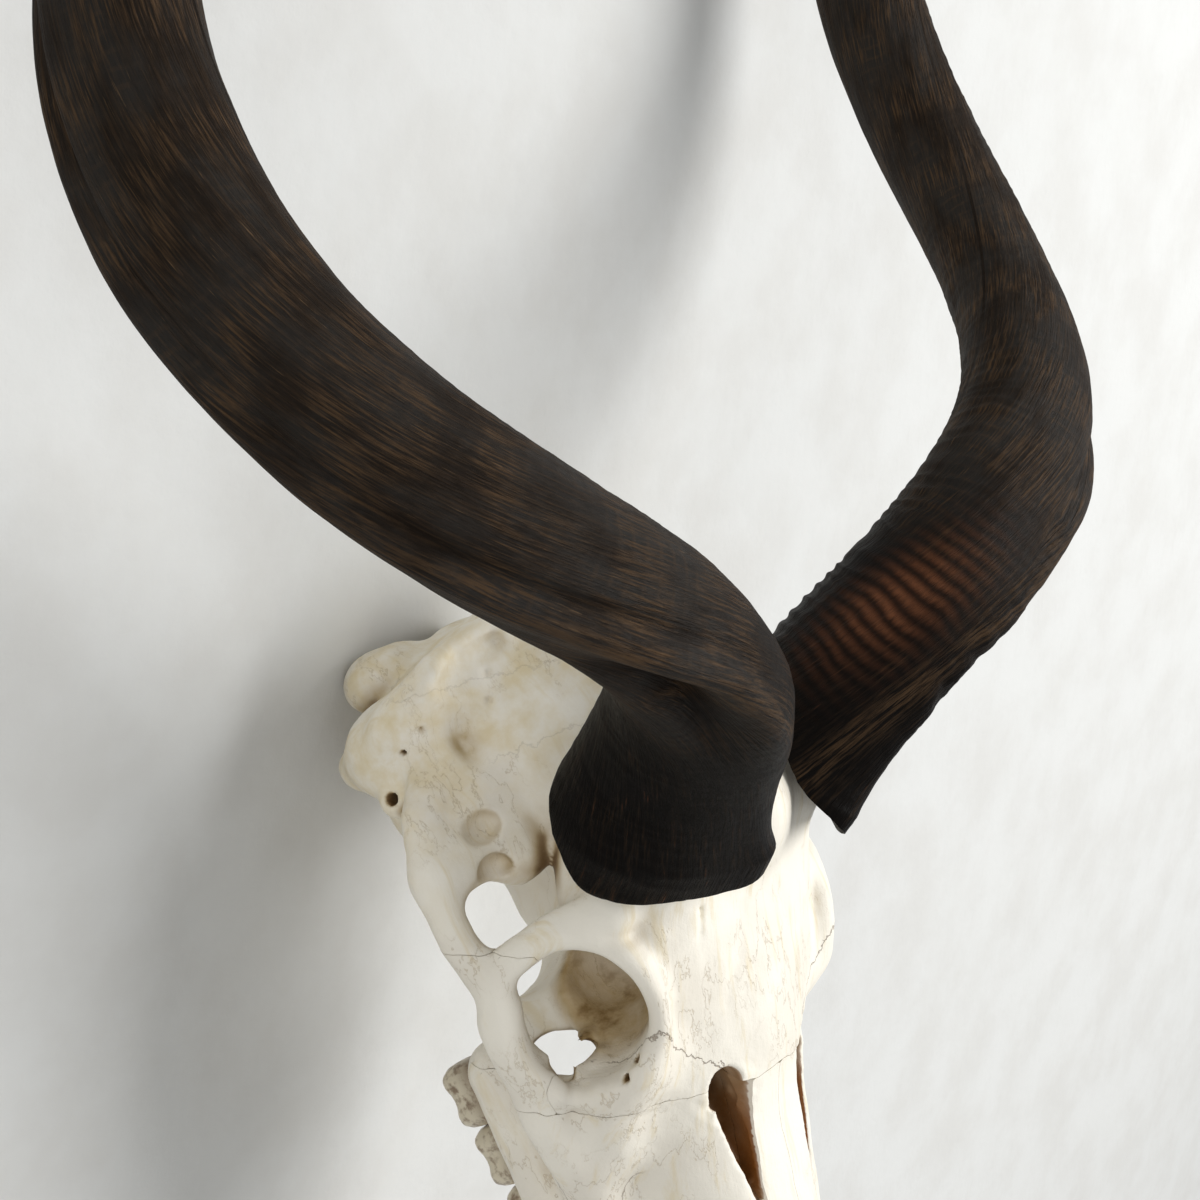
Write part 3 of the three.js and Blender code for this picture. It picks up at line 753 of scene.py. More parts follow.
def meshBone(region):
    step = skull["step"]
    share = np.full(field.shape, 9.0, np.float32)
    share[tuple(solid.T)] = region(solidAt) + skull["gap"] / 2
    wanted = np.argwhere((share < 0) & (field < 0))
    first = np.maximum(wanted.min(0) - 2, 0)
    end = np.minimum(wanted.max(0) + 3, field.shape)
    box = tuple(slice(a, b) for a, b in zip(first, end))
    low = fieldLow + first * step
    values = np.maximum(field[box], share[box]).copy()
    joinPinches(values)
    points, quads, cells = surfaceNet(values, low, step)

    def crosses(block):
        held = np.stack([block[tuple((cells + c).T)] < 0 for c in corners])
        return held.any(0) & ~held.all(0)
    onEdge = crosses(field[box]) & crosses(share[box])
    kept, quads = largestShell(points, quads)
    points, onEdge = points[kept], onEdge[kept]

    def cut(p):
        return region(p) + skull["gap"] / 2
    for turn in range(skull["relaxTurns"]):
        relax(points, quads, ~onEdge, skull["relax"])
    for turn in range(skull["settleTurns"]):
        settle(points, onEdge, cut, step)
    relax(points, quads, crowded(points, quads, skull["closest"]), skull["part"])
    return points, quads


def crowded(points, quads, least):  # points that fell onto a neighbour
    tight = np.zeros(len(points), bool)
    for k in range(4):
        span = np.linalg.norm(points[quads[:, k]] - points[quads[:, (k + 1) % 4]], axis=1)
        tight[quads[span < least, k]] = True
    return tight


def settle(points, onEdge, cut, step):  # lays the points back on the bone, on the seam or on both
    near, seam = readField(points), cut(points)
    nearWay = slopeOf(readField, points, 0.5 * step)
    seamWay = slopeOf(cut, points, 0.3)
    move = np.zeros_like(points)
    onBone = ~onEdge & (near >= seam)
    onSeam = ~onEdge & ~onBone
    for pick, gap, way in ((onBone, near, nearWay), (onSeam, seam, seamWay)):
        steep = np.maximum((way[pick] ** 2).sum(-1), 0.25)
        move[pick] = -(gap[pick] / steep)[:, None] * way[pick]
    a, b = nearWay[onEdge], seamWay[onEdge]
    aa, bb, ab = (a * a).sum(-1) + 0.02, (b * b).sum(-1) + 0.02, (a * b).sum(-1)
    span = aa * bb - ab * ab + 1e-3
    ka = (near[onEdge] * bb - seam[onEdge] * ab) / span
    kb = (seam[onEdge] * aa - near[onEdge] * ab) / span
    move[onEdge] = -(ka[:, None] * a + kb[:, None] * b)
    size = np.linalg.norm(move, axis=1)
    points += move * np.minimum(1, 0.45 * step / np.maximum(size, 1e-9))[:, None]


shade = {"reach": (4.0, 9.0, 18.0, 34.0), "weight": (0.2, 0.25, 0.3, 0.25)}


# this occlusion-like hollow measure darkens the bone's colour in hollows as painted shade
def hollowness(points):  # 0 on an open face, towards 1 deep in a hollow
    way = slopeOf(readField, points, skull["step"])
    way = way / np.maximum(np.linalg.norm(way, axis=1), 1e-6)[:, None]
    total = np.zeros(len(points))
    for reach, weight in zip(shade["reach"], shade["weight"]):
        total += weight * np.clip(1 - readField(points + way * reach) / reach, 0, 1)
    return total


# Finish of the bone.
boneLook = {
    "ivory": paint(240, 234, 220),
    "cool": paint(224, 216, 201),
    "warm": paint(220, 202, 158),
    "tan": paint(172, 146, 98),
    "brown": paint(98, 68, 34),
    "amber": paint(132, 78, 18),
    "nape": (30.0, 120.0),  # the bone yellows over this stretch
    "socket": (46.0, 6.0, 95.0),  # middle of the eye socket, coloured tan and brown towards its inside
    "socketReach": (33.0, 22.0),
    "slit": ((22.0, 10.0), (-74.0, 28.0)),  # place and width of the amber-coloured slit, across and along
    "shine": 0.4,
    "relief": 0.8,
}
boneGrain = {  # size, detail, roughness and stretch of each noise
    "broad": (38.0, 2.0),
    "blotch": (13.0, 4.0, 0.6),
    "speck": (1.7, 3.0, 0.65),
    "streak": (3.4, 4.0, 0.6, (1.0, 0.07, 0.22)),
    "fine": (0.55, 2.0, 0.6),
    "crack": (9.0, 5.0, 0.62, (1.0, 0.3, 0.55)),
}


def boneFinish():
    finish, tree, shader = newFinish("dryBone")
    place = skullPlace(tree)
    split = addNode(tree, "ShaderNodeSeparateXYZ", Vector=place)
    x, y, z = (Reading(tree, s) for s in split.outputs)
    side = x.size()
    hollow = keptValue(tree, "hollow")
    broad, blotch, speck, streak, fine, crack = grains(tree, place, boneGrain)
    hairline = (crack - 0.5).size().between(0.011, 0.0) * broad.between(0.44, 0.6)
    away = [value - middle for value, middle in zip((side, y, z), boneLook["socket"])]
    inSocket = away[0] * away[0] + away[1] * away[1] + away[2] * away[2]
    inSocket = inSocket.step("SQRT").between(*boneLook["socketReach"])
    slitAcross, slitAlong = boneLook["slit"]
    slit = side.bump(*slitAcross) * y.bump(*slitAlong) * hollow.between(0.34, 0.5)
    seamLine = sutures(tree, place, side, y, z)
    pore = speck.between(0.70, 0.82) * 0.35
    colour = coated(tree, boneLook, "ivory", (
        (broad.between(0.42, 0.66) * 0.55, "cool"),
        (y.between(*boneLook["nape"]) * blotch.between(0.3, 0.75) * 0.8, "warm"),
        (streak.between(0.52, 0.74) * 0.5, "warm"),
        (hairline * 0.35, "tan"),
        (inSocket * (0.35 + blotch), "tan"),
        (inSocket * blotch.between(0.5, 0.72) * 0.7, "brown"),
        # painted shade: tan and then brown darken the bone with the occlusion-like hollow measure, made
        # uneven by blotches
        (hollow.between(0.30, 0.85) * (0.5 + blotch * 0.9) * 0.85, "tan"),
        (hollow.between(0.66, 0.92) * (0.4 + blotch) * 0.9, "brown"),
        (slit * 1.3, "amber"),
        (seamLine * 0.6, "brown"),
        (pore, "tan"),
    ))
    tree.links.new(colour, shader.inputs["Base Color"])
    feed(tree, shader.inputs["Roughness"], blotch * 0.22 + 0.44)
    shader.inputs["Specular IOR Level"].default_value = boneLook["shine"]
    height = streak * 0.22 + speck * 0.16 + fine * 0.07 + blotch * 0.5
    setBump(tree, shader, height - seamLine * 0.4 - pore * 0.4 - hairline * 0.15, boneLook["relief"])
    return finish


def sutures(tree, place, side, y, z):  # thin zigzag lines where bones have grown together
    zig = (noiseIn(tree, place, 5.0, 3.0, 0.6) - 0.5) * 9.0
    brow = (y - side * 0.68 + 62.0 + zig).size().between(0.55, 0.12)
    brow = brow * side.between(20.0, 26.0) * z.between(88.0, 98.0) * y.between(-6.0, -14.0)
    crown = (y - 80.0 - side * 0.25 + zig * 1.3).size().between(0.6, 0.12) * z.between(92.0, 104.0) * 0.25
    rear = (y - 122.0 + (z - 100.0) * 0.3 + zig).size().between(0.6, 0.12) * z.between(70.0, 84.0) * 0.2
    cheek = (z - 79.0 - (y + 38.0) * 0.50 + (side - 53.0) * 1.6 + zig * 0.5).size().between(0.6, 0.12)
    cheek = cheek * side.between(46.0, 50.0) * y.between(-30.0, -36.0) * y.between(-84.0, -72.0) * 0.7
    return brow.step("MAXIMUM", crown).step("MAXIMUM", rear).step("MAXIMUM", cheek)


bone = boneFinish()
bothSides = (("right", -1), ("left", 1))
sideBones = (
    ("cheek", cheekRegion, "cheekbone"),
    ("jaw", jawRegion, "upper_jaw"),
    ("nasal", noseRegion, "nasal"),
    ("premaxilla", frontRegion, "premaxilla"),
)
bonePieces = [("bone_cranium", craniumRegion, "nape_bone", "cranium")]
for sideName, sideSign in bothSides:
    for boneName, boneRegion, nodeName in sideBones:
        bonePieces.append((f"bone_{boneName}_{sideName}", boneRegion(sideSign), "face_bone",
                           f"{nodeName}_{sideName}"))
for pieceName, pieceRegion, pieceSlot, pieceNode in bonePieces:
    spots, loops = meshBone(pieceRegion)
    made = makePiece(pieceName, spots, loops, bone, skull["sharpDeg"])
    keepValue(made.data, "hollow", hollowness(spots))
    fitOut(made, (pieceNode,))
    print("bone", pieceName, "triangles", 2 * len(loops))


# Cheek teeth: one two-lobed crown, set along both rows by a node tree.
teeth = {
    "lengths": (26, 25, 23, 17, 16, 14),  # from the last molar forward
    "rowEnd": -2.0,
    "side": 44.0,
    "toe": 0.06,
    "toeFrom": -15.0,
    "wide": 19.0,
    "narrowest": 0.55,  # share of the width that a short tooth keeps
    "fullLength": 23.0,
    "edge": 4.0,
    "tall": 20.0,
    "leanDeg": 2.0,
    "sharpDeg": 60,
    "around": 48,
    "rise": 7,
    "seed": 11,
    "chewed": ((0.97, 0.05, 0.0), (0.86, 0.0, 0.05), (0.74, 0.10, 0.5), (0.56, 0.17, 0.9),
               (0.42, 0.06, 0.15), (0.28, 0.13, 0.75), (0.12, 0.09, 0.5)),  # share, drop, stain of each ring
}
toothLook = {
    "cream": paint(214, 203, 178),
    "stain": paint(104, 72, 40),
    "dark": paint(58, 40, 26),
    "gum": (12.0, 22.0),  # height over which the stain grows
}
toothGrain = {"blotch": (4.0, 4.0, 0.6), "fine": (0.8, 3.0, 0.6, (1.0, 1.0, 0.25))}


def toothFinish():
    finish, tree, shader = newFinish("tooth")
    place = skullPlace(tree)
    z = Reading(tree, addNode(tree, "ShaderNodeSeparateXYZ", Vector=place).outputs[2])
    blotch, fine = grains(tree, place, toothGrain)
    colour = coated(tree, toothLook, "cream", (
        (blotch.between(0.45, 0.7) * 0.8, "stain"),
        (z.between(*toothLook["gum"]) * 0.6, "stain"),
        (keptValue(tree, "hollow"), "dark"),
    ))
    tree.links.new(colour, shader.inputs["Base Color"])
    feed(tree, shader.inputs["Roughness"], blotch * 0.25 + 0.22)
    setBump(tree, shader, fine * 0.12 + blotch * 0.15, 0.5)
    return finish


def crownMesh():  # unit crown: 1 long along y, 1 wide along x, from z 0 at the chewing face up to 1
    count = teeth["around"]
    turns = np.arange(count) * 2 * math.pi / count
    c, s = np.cos(turns), np.sin(turns)
    waist = 1 - 0.16 * np.exp(-(c / 0.26) ** 2)
    rib = 1 + 0.06 * np.cos(6 * turns) * (s > 0)
    outX = 0.5 * np.sign(s) * np.abs(s) ** 0.7 * waist * rib
    outY = 0.5 * np.sign(c) * np.abs(c) ** 0.7
    points, dark = [], []
    for level in np.linspace(1, 0.16, teeth["rise"]):
        swell = 0.93 + 0.07 * math.sin(math.pi * level)
        points += [(px * swell, py * swell, level) for px, py in zip(outX, outY)]
        dark += [0.25 * level] * count
    # chewing face: an outer enamel edge with cusps, then rings falling into the worn hollow
    cusp = 0.10 * np.cos(2 * turns) ** 2
    for share, drop, stain in teeth["chewed"]:
        points += [(px * share * 0.94, py * share * 0.94, drop + k * share)
                   for px, py, k in zip(outX, outY, cusp)]
        dark += [stain] * count
    faces = []
    rows = len(points) // count
    for row in range(rows - 1):
        for k in range(count):
            n = (k + 1) % count
            faces.append((row * count + n, (row + 1) * count + n, (row + 1) * count + k, row * count + k))
    faces.append(tuple(reversed(range(count))))
    faces.append(tuple(range((rows - 1) * count, rows * count)))
    return points, faces, dark


def addInputs(tree, kind, names):  # named inputs of one kind, with the identifier of each
    return {name: tree.interface.new_socket(name, in_out="INPUT", socket_type="NodeSocket" + kind).identifier
            for name in names}


def endTree(tree, shape, finish):
    tree.interface.new_socket("Made", in_out="OUTPUT", socket_type="NodeSocketGeometry")
    whole = addNode(tree, "GeometryNodeRealizeInstances", Geometry=shape)
    dress = addNode(tree, "GeometryNodeSetMaterial", Geometry=whole.outputs[0], Material=finish)
    end = addNode(tree, "NodeGroupOutput")
    tree.links.new(dress.outputs[0], end.inputs[0])


def heldIn(tree, name, kind="FLOAT"):
    return addNode(tree, "GeometryNodeInputNamedAttribute", {"data_type": kind}, Name=name).outputs[0]


def toothTree(finish):
    tree = bpy.data.node_groups.new("toothRow", "GeometryNodeTree")
    sockets = addInputs(tree, "Geometry", ("Roots",))
    sockets.update(addInputs(tree, "Object", ("Crown",)))
    sockets.update(addInputs(tree, "Float", ("Crown height", "Lean")))
    sockets.update(addInputs(tree, "Int", ("Seed",)))
    start = addNode(tree, "NodeGroupInput")
    crown = addNode(tree, "GeometryNodeObjectInfo", Object=start.outputs["Crown"])
    size = addNode(tree, "ShaderNodeCombineXYZ", X=heldIn(tree, "wide"), Y=heldIn(tree, "long"),
                   Z=start.outputs["Crown height"])
    swing = addNode(tree, "FunctionNodeRandomValue", {"data_type": "FLOAT"}, Seed=start.outputs["Seed"])
    low, high = [s for s in swing.inputs if s.name in ("Min", "Max") and s.type == "VALUE"]
    reach = Reading(tree, start.outputs["Lean"])
    feed(tree, low, reach * -1.0)
    feed(tree, high, reach)
    drift = [s for s in swing.outputs if s.type == "VALUE"][0]
    tilt = addNode(tree, "ShaderNodeCombineXYZ", X=drift, Y=drift)
    turn = addNode(tree, "FunctionNodeEulerToRotation", Euler=tilt.outputs[0])
    row = addNode(tree, "GeometryNodeInstanceOnPoints", Points=start.outputs["Roots"],
                  Instance=crown.outputs["Geometry"], Rotation=turn.outputs[0], Scale=size.outputs[0])
    endTree(tree, row.outputs[0], finish)
    return tree, sockets


def plainMesh(name, source, tree, sockets, values):  # runs a tree on a mesh and keeps a plain mesh
    maker = addObject(name + "_maker", source)
    modifier = maker.modifiers.new("make", "NODES")
    modifier.node_group = tree
    for socketName, value in values.items():
        modifier[sockets[socketName]] = value
    graph = bpy.context.evaluated_depsgraph_get()
    mesh = bpy.data.meshes.new_from_object(maker.evaluated_get(graph))
    mesh.name = name
    mesh.validate()
    maker.modifiers.remove(modifier)
    bpy.data.objects.remove(maker)
    mesh.transform(toFloor)
    return addObject(name, mesh)


def makeCrown():
    points, faces, dark = crownMesh()
    mesh = bpy.data.meshes.new("crown")
    mesh.from_pydata(points, [], faces)
    keepValue(mesh, "hollow", dark)
    mesh.shade_smooth()
    mesh.set_sharp_from_angle(angle=math.radians(teeth["sharpDeg"]))
    return addObject("crown", mesh)


def makeTeeth():
    finish = toothFinish()
    crown = makeCrown()
    tree, sockets = toothTree(finish)
    lengths = np.array(teeth["lengths"], float)
    middles = teeth["rowEnd"] - np.cumsum(lengths) + lengths / 2
    outwards = teeth["side"] + teeth["toe"] * (middles - teeth["toeFrom"])
    keptWidth = teeth["narrowest"] + (1 - teeth["narrowest"]) * np.minimum(lengths / teeth["fullLength"], 1)
    for sideName, side in bothSides:
        row = bpy.data.meshes.new("roots")
        row.from_pydata([(side * x, y, teeth["edge"]) for x, y in zip(outwards, middles)], [], [])
        keepValue(row, "long", lengths)
        keepValue(row, "wide", teeth["wide"] * keptWidth)
        piece = plainMesh(f"teeth_{sideName}", row, tree, sockets, {
            "Crown": crown, "Crown height": teeth["tall"],
            "Lean": math.radians(teeth["leanDeg"]), "Seed": teeth["seed"]})
        fitOut(piece, (f"upper_jaw_{sideName}",))
        print("teeth", sideName, "faces", len(piece.data.polygons))
    bpy.data.objects.remove(crown)


makeTeeth()


# Horns: a node tree sweeps a keeled section along a guide line and lays growth rings and flutes on it.
def helixFrame():
    rise, splay = math.radians(horn["riseDeg"]), math.radians(horn["splayDeg"])
    axis = np.array([-math.sin(splay), math.cos(splay) * math.cos(rise), math.cos(splay) * math.sin(rise)])
    out = np.array([-1.0, 0, 0])
    out = unit(out - axis * (out @ axis))
    return axis, out, -np.cross(axis, out)


def aroundHelix(angle):
    axis, out, side = helixFrame()
    return np.cos(angle)[:, None] * out + np.sin(angle)[:, None] * side


def helixAngle(t):
    return math.radians(horn["startDeg"]) + 2 * math.pi * horn["turns"] * t


def helixPoint(t):
    axis = helixFrame()[0]
    radius = horn["radius"] * (1 - np.exp(-3 * t / horn["opens"])) * (1 - horn["fades"] * t)
    onAxis = np.array(horn["root"]) + axis * (horn["reach"] * t)[:, None]
    return onAxis + aroundHelix(helixAngle(t)) * radius[:, None]


def footSlope():  # millimetres of horn for one unit along, at the foot
    tiny = 1e-4
    ends = helixPoint(np.array([0.0, tiny]))
    return ends[0], (ends[1] - ends[0]) / tiny


def hornLine(t):
    root, slope = footSlope()
    foot, heading = np.array(horn["foot"]), unit(horn["heading"])
    pace = np.linalg.norm(slope)
    s = np.clip(t / horn["footBlend"], 0, 1)
    lead = (2 * s ** 3 - 3 * s ** 2 + 1)[:, None] * (foot - root)
    swing = (horn["footBlend"] * (s ** 3 - 2 * s ** 2 + s))[:, None] * (heading * pace - slope)
    line = helixPoint(np.maximum(t, 0)) + lead + swing
    below = t < 0
    line[below] = foot + heading * pace * t[below][:, None]
    return line


def hornGuide(mirror):
    share = np.linspace(0, 1, horn["rows"] + 1) ** horn["crowd"]
    t = horn["footEnd"] + (1 - horn["footEnd"]) * share
    held = np.clip(t, 0, 1)
    line = hornLine(t)
    tangent = hornLine(t + 2e-4) - hornLine(t - 2e-4)
    tangent /= np.linalg.norm(tangent, axis=1)[:, None]
    keel = aroundHelix(helixAngle(held) + np.radians(horn["keelDeg"] - horn["keelLagDeg"] * held))
    keel -= tangent * (keel * tangent).sum(1)[:, None]
    keel /= np.linalg.norm(keel, axis=1)[:, None]
    turn = np.array([mirror, 1, 1])
    line, tangent, keel = line * turn, tangent * turn, keel * turn
    flare = horn["flare"] * np.exp(-held / horn["flareFade"])
    girth = np.maximum(0.5 * (horn["wide"] * (1 - held) ** horn["taper"] + flare), horn["tipRadius"])
    crest = np.interp(t, horn["crestAlong"], horn["crestTurn"])
    arc = np.concatenate([[0], np.cumsum(np.linalg.norm(np.diff(line, axis=0), axis=1))])
    guide = bpy.data.meshes.new("guide")
    guide.from_pydata(line, [(k, k + 1) for k in range(len(line) - 1)], [])
    for name, values in (("girth", girth), ("arc", arc), ("crest", crest)):
        keepValue(guide, name, values)
    for name, way in (("keelWay", keel), ("sideWay", np.cross(tangent, keel))):
        kept = guide.attributes.new(name, "FLOAT_VECTOR", "POINT")
        kept.data.foreach_set("vector", np.ascontiguousarray(way, np.float32).ravel())
    return guide


hornRelief = {
    "Keel height": 0.16,
    "Back keel height": 0.05,
    "Flattening": 0.06,
    "Foot flattening": 0.05,
    "Groove depth": 3.4,
    "Corner flare": 7.0,
    "Front lift": 5.0,
    "Ring spacing": 7.5,
    "Flute depth": 0.65,
    "Swell depth": 0.9,
    "Foot girth": 0.5 * (horn["wide"] + horn["flare"]),
    "Foot pace": float(np.linalg.norm(footSlope()[1])),
    "Foot end": horn["footEnd"],
    "Crowd": horn["crowd"],
}
hornSides = {  # Foot keel is the share of the keel that is there at the foot
    "right": {"Hand": 1.0, "Seed": 3.7, "Torn edge": 0.8, "Ring depth": 0.345, "Corner drop": -3.0,
              "Foot keel": 0.0, "Hollow depth": 14.0},
    "left": {"Hand": -1.0, "Seed": 9.2, "Torn edge": 3.2, "Ring depth": 1.15, "Corner drop": -6.0,
             "Foot keel": 0.8, "Hollow depth": 8.0},
}
hornForms = {  # middle and width of each form: radians round the horn, or shares along it
    "corner": (-0.52, 0.32),
    "front": (-1.45, 0.55),
    "dip": (-2.55, 0.3),
    "keel": (0.0, 0.26),
    "keelSwell": (0.135, 0.05),
    "backKeel": (0.0, 0.5),
    "tornRound": (0.05, 0.22),
    "tornAlong": (0.07, 0.04),
    "groove": (0.27, 0.12),
    "dentRound": (-0.58, 0.34),
    "dentAlong": (0.128, 0.032),
    "rings": (2.45, 0.75),
}
hornSwells = {  # size, detail, roughness and stretch of each noise in the shape
    "tear": (15.0, 5.0, 0.62),
    "wander": (26.0, 2.0, 0.5, (0.5, 0.5, 1.0)),
    "flute": (7.0, 2.0, 0.5, (1.0, 1.0, 0.05)),
    "swell": (42.0, 2.0, 0.5),
}


def unrolled(tree, turn, arc=0.0):  # a place on the horn laid out so that noise joins up all round
    return addNode(tree, "ShaderNodeCombineXYZ", X=turn.step("COSINE") * horn["unroll"],
                   Y=turn.step("SINE") * horn["unroll"], Z=arc).outputs[0]


def vectorMath(tree, operation, first, second):
    node = addNode(tree, "ShaderNodeVectorMath", {"operation": operation})
    feed(tree, node.inputs[0], first)
    feed(tree, node.inputs["Scale"] if operation == "SCALE" else node.inputs[1], second)
    return node.outputs["Value"] if operation == "DOT_PRODUCT" else node.outputs[0]


def hornTree(finish):
    tree = bpy.data.node_groups.new("hornSweep", "GeometryNodeTree")
    sockets = addInputs(tree, "Geometry", ("Guide",))
    sockets.update(addInputs(tree, "Float", (*hornRelief, *hornSides["right"])))
    sockets.update(addInputs(tree, "Int", ("Rows", "Sides")))
    start = addNode(tree, "NodeGroupInput")
    given = {name: Reading(tree, start.outputs[name]) for name in sockets if name != "Guide"}
    sockets.update(addInputs(tree, "Vector", ("Rim normal", "Foot heading")))

    tube = addNode(tree, "GeometryNodeMeshCylinder", {"fill_type": "TRIANGLE_FAN"}, Radius=1.0, Depth=1.0,
                   Vertices=start.outputs["Sides"], Side_Segments=start.outputs["Rows"])
    here = addNode(tree, "GeometryNodeInputPosition").outputs[0]
    px, py, pz = (Reading(tree, s) for s in addNode(tree, "ShaderNodeSeparateXYZ", Vector=here).outputs)
    spread = (px * px + py * py).step("SQRT").between(0.4, 0.6)  # 0 at the middle of an end
    flatTurn = py.step("ARCTAN2", px)
    turn = flatTurn * given["Hand"]

    def form(reading, name):
        return reading.bump(*hornForms[name])

    def guideRow(name, kind, row):
        held = here if name == "position" else heldIn(tree, name, kind)
        return addNode(tree, "GeometryNodeSampleIndex", {"data_type": kind, "domain": "POINT"},
                       Geometry=start.outputs["Guide"], Value=held, Index=row).outputs[0]

    def leanOf(way):  # how far a way goes along the rim's normal
        return Reading(tree, vectorMath(tree, "DOT_PRODUCT", way, start.outputs["Rim normal"]))

    # where each line along the horn starts on the wavering rim
    corner = form(turn, "corner")
    flatAtFoot = given["Flattening"] + given["Foot flattening"]
    footRadius = given["Foot girth"] * (flatAtFoot * (turn * 2.0).step("COSINE") + 1.0)
    footRadius = footRadius + corner * given["Corner flare"]
    footLean = leanOf(guideRow("keelWay", "FLOAT_VECTOR", 0)) * flatTurn.step("COSINE")
    footLean = footLean + leanOf(guideRow("sideWay", "FLOAT_VECTOR", 0)) * flatTurn.step("SINE")
    rimWave = (noiseIn(tree, unrolled(tree, turn), 11.0, 3.0, 0.6, seed=given["Seed"]) - 0.5) * 3.0
    lift = form(turn, "front") * given["Front lift"] - form(turn, "dip") * 3.0 - corner * given["Corner drop"]
    pace = given["Foot pace"] * leanOf(start.outputs["Foot heading"])
    first = (lift - rimWave - footRadius * footLean) / pace * spread
    along = first + (1.0 - first) * (pz + 0.5).step("MAXIMUM", 0.0).power(given["Crowd"])
    rowHere = (along - given["Foot end"]) / (1.0 - given["Foot end"])
    rowHere = rowHere.step("MAXIMUM", 0.0).power(1.0 / given["Crowd"]) * given["Rows"]
    rowLow = rowHere.step("MINIMUM", given["Rows"] - 1.0).step("FLOOR")
    rowPart = rowHere - rowLow

    def fromGuide(name):
        low, high = (Reading(tree, guideRow(name, "FLOAT", row)) for row in (rowLow, rowLow + 1.0))
        return low + (high - low) * rowPart

    def wayFromGuide(name):
        low, high = (guideRow(name, "FLOAT_VECTOR", row) for row in (rowLow, rowLow + 1.0))
        return vectorMath(tree, "ADD", vectorMath(tree, "SCALE", low, 1.0 - rowPart),
                          vectorMath(tree, "SCALE", high, rowPart))

    # the section: flattened, with a keel, a back keel, the groove, the hollow and the torn edge
    arc, crest = fromGuide("arc"), turn - fromGuide("crest")
    tear, wander, flute, swell = (noise - 0.5 for noise in grains(
        tree, unrolled(tree, turn, arc), hornSwells, given["Seed"]))
    held = along.step("MAXIMUM", 0.0)
    fade = 1.0 - held * 0.75
    flat = given["Flattening"] + given["Foot flattening"] * (held * -10.0).step("EXPONENT")
    footKeel = given["Foot keel"] + (1.0 - given["Foot keel"]) * along.between(0.03, 0.11)
    keel = given["Keel height"] * footKeel + 0.10 * form(along, "keelSwell")
    backKeel = given["Back keel height"] * form(math.pi - turn.size(), "backKeel")
    section = flat * (turn * 2.0).step("COSINE") + (keel * form(crest, "keel") + backKeel) * fade + 1.0
    torn = tear * given["Torn edge"] * form(crest, "tornRound") * form(along, "tornAlong") * 3.5
    groove = given["Groove depth"] * form(crest, "groove")
    groove = groove * along.between(0.09, 0.14) * along.between(0.5, 0.34)
    dent = given["Hollow depth"] * form(crest, "dentRound") * form(along, "dentAlong")
    radius = fromGuide("girth") * section + torn - groove - dent
    radius = radius + corner * (held * -55.0).step("EXPONENT") * given["Corner flare"]

    # growth rings, flutes and swells, which fade out before the tip
    ripple = (((arc / given["Ring spacing"] + wander * 5.0) * math.tau).wave() * 0.5 + 0.5).power(1.6)
    ringShare = (0.1 + 0.9 * form(turn.size(), "rings")) * (held * -4.5).step("EXPONENT")
    relief = ripple * ringShare * given["Ring depth"] + flute * given["Flute depth"] * 2.0
    relief = relief + swell * given["Swell depth"] * 2.0
    radius = (radius + relief * along.between(0.995, 0.9)).step("MAXIMUM", 0.3) * spread

    shape = tube.outputs["Mesh"]
    for name, value in (("along", along), ("arc", arc), ("turn", turn)):
        shape = addNode(tree, "GeometryNodeStoreNamedAttribute", {"data_type": "FLOAT", "domain": "POINT"},
                        Geometry=shape, Name=name, Value=value).outputs[0]
    outKeel = vectorMath(tree, "SCALE", wayFromGuide("keelWay"), radius * flatTurn.step("COSINE"))
    outSide = vectorMath(tree, "SCALE", wayFromGuide("sideWay"), radius * flatTurn.step("SINE"))
    ringPoint = vectorMath(tree, "ADD", outKeel, outSide)
    swept = addNode(tree, "GeometryNodeSetPosition", Geometry=shape,
                    Position=vectorMath(tree, "ADD", wayFromGuide("position"), ringPoint))
    smooth = addNode(tree, "GeometryNodeSetShadeSmooth", Geometry=swept.outputs[0])
    endTree(tree, smooth.outputs[0], finish)
    return tree, sockets


hornLook = {
    "dark": paint(33, 26, 20),
    "slate": paint(44, 41, 38),
    "brown": paint(88, 67, 46),
    "pale": paint(132, 104, 74),
    "black": paint(9, 6, 4),
    "red": paint(132, 82, 54),
    "tip": paint(196, 178, 142),
    "shine": 0.07,
    "redness": {"right": 0.15, "left": 0.75},
}
hornGrain = {  # size, detail, roughness and stretch of each noise in the colour
    "fibre": (0.95, 4.0, 0.65, (1.0, 1.0, 0.07)),
    "hair": (0.6, 3.0, 0.6, (1.0, 1.0, 0.04)),
    "blotch": (24.0, 4.0, 0.6, (1.0, 1.0, 0.55)),
    "bend": (30.0, 2.0, 0.5),
    "fleck": (2.2, 4.0, 0.7, (1.0, 1.0, 0.3)),
}


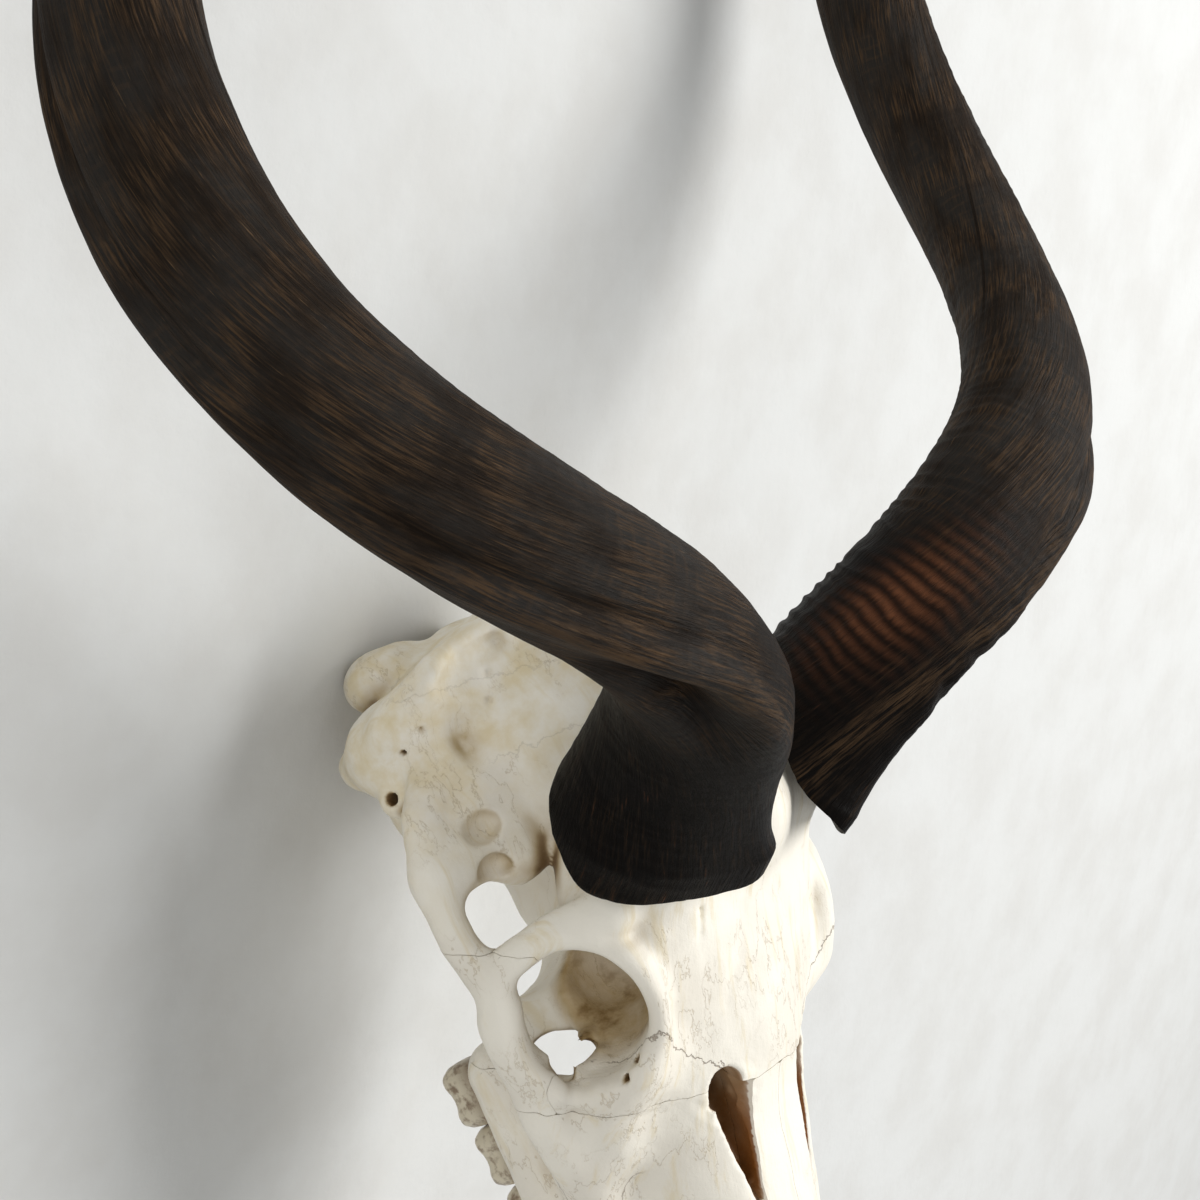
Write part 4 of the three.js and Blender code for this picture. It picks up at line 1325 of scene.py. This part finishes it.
def hornFinish(sideName):
    finish, tree, shader = newFinish(f"horn_{sideName}")
    along, arc, turn = (keptValue(tree, name) for name in ("along", "arc", "turn"))
    fibre, hair, blotch, bend, fleck = grains(tree, unrolled(tree, turn, arc), hornGrain)
    band = (arc * 0.16 + turn.step("COSINE") * 1.6 + bend * 9.0).wave() * 0.5 + 0.5
    fineBand = (arc * 1.25 + bend * 9.0 + fleck * 2.0).wave() * 0.5 + 0.5
    foot = along.between(0.15, 0.06) * (0.84 + fibre.between(0.66, 0.45) * 0.16)
    rust = along.bump(0.066, 0.028) * turn.bump(1.05, 0.5) * (0.12 + fineBand * fleck * 1.5)
    rust = rust * hornLook["redness"][sideName] + along.between(0.1, 0.03) * fibre.between(0.64, 0.8) * 0.4
    keelShade = turn.bump(0.0, 0.16) * along.between(0.45, 0.2)
    colour = coated(tree, hornLook, "dark", (
        (blotch.between(0.38, 0.62), "slate"),
        (fibre.between(0.42, 0.72) * (0.25 + band.between(0.1, 0.95) * 0.6), "brown"),
        (hair.between(0.58, 0.74) * fleck.between(0.45, 0.7) * 0.55, "pale"),
        (fineBand.between(0.7, 1.0) * blotch.between(0.5, 0.7) * 0.2, "brown"),
        (foot * 0.97, "black"),
        (rust, "red"),
        (keelShade * fibre.between(0.4, 0.6) * 0.5, "brown"),
        (along.between(0.90, 0.985), "tip"),
    ))
    tree.links.new(colour, shader.inputs["Base Color"])
    feed(tree, shader.inputs["Roughness"], 0.52 - foot * 0.14 + fleck * 0.16)
    shader.inputs["Specular IOR Level"].default_value = hornLook["shine"]
    height = fibre * 1.2 + hair * 0.5 + fleck * 0.5 + fineBand * along.between(0.05, 0.12) * 0.12
    setBump(tree, shader, height, 1.0)
    return finish


def makeHorns():
    for sideName, own in hornSides.items():
        tree, sockets = hornTree(hornFinish(sideName))
        turn = Vector((own["Hand"], 1, 1))
        piece = plainMesh(f"horn_{sideName}", hornGuide(own["Hand"]), tree, sockets, {
            **hornRelief, **own, "Rows": horn["rows"], "Sides": horn["sides"],
            "Rim normal": (Vector(horn["rimNormal"]) * turn).normalized(),
            "Foot heading": (Vector(horn["heading"]) * turn).normalized()})
        fitOut(piece, tuple(f"horn_{sideName}_{name}" for name in horn["lengths"]))
        print("horn", sideName, "faces", len(piece.data.polygons))


makeHorns()


# Floor, light and air.
floorLook = {"half": 9.0, "pale": paint(212, 212, 209), "shade": paint(206, 205, 201), "rough": 0.8}
floorGrain = {"broad": (0.07, 4.0, 0.6), "fine": (0.012, 4.0, 0.6)}  # in metres


def makeFloor():
    finish, tree, shader = newFinish("plasterFloor")
    where = addNode(tree, "ShaderNodeTexCoord").outputs["Object"]
    broad, fine = grains(tree, where, floorGrain)
    colour = mixColour(tree, broad.between(0.35, 0.7), floorLook["pale"], floorLook["shade"])
    tree.links.new(colour, shader.inputs["Base Color"])
    shader.inputs["Roughness"].default_value = floorLook["rough"]
    setBump(tree, shader, broad * 0.8 + fine * 0.35, 0.3, 0.004)
    half = floorLook["half"]
    mesh = bpy.data.meshes.new("floor")
    mesh.from_pydata([(-half, -half, 0), (half, -half, 0), (half, half, 0), (-half, half, 0)], [],
                     [(0, 1, 2, 3)])
    mesh.materials.append(finish)
    addObject("floor", mesh)


light = {
    "key": {"at": (1.6, 0.5, 2.3), "size": 2.2, "watts": 84.0},
    "fill": {"at": (-2.2, 0.3, 1.5), "size": 2.4, "watts": 17.0},
    "towards": (0.0, 0.0, 0.12),
    "air": 0.44,
    "airColour": (0.96, 0.98, 1.0, 1.0),
}


def makeLight():
    for name in ("key", "fill"):
        data = bpy.data.lights.new(name, "AREA")
        data.shape = "DISK"
        data.size = light[name]["size"]
        data.energy = light[name]["watts"]
        lamp = addObject(name, data)
        lamp.location = light[name]["at"]
        lamp.rotation_mode = "QUATERNION"
        lamp.rotation_quaternion = (Vector(light["towards"]) - lamp.location).to_track_quat("-Z", "Y")
    world = bpy.data.worlds.new("air")
    world.use_nodes = True
    air = world.node_tree.nodes["Background"]
    air.inputs["Color"].default_value = light["airColour"]
    air.inputs["Strength"].default_value = light["air"]
    bpy.context.scene.world = world
    bpy.context.scene.view_settings.view_transform = "Standard"


makeFloor()
makeLight()
print("floor and light set")
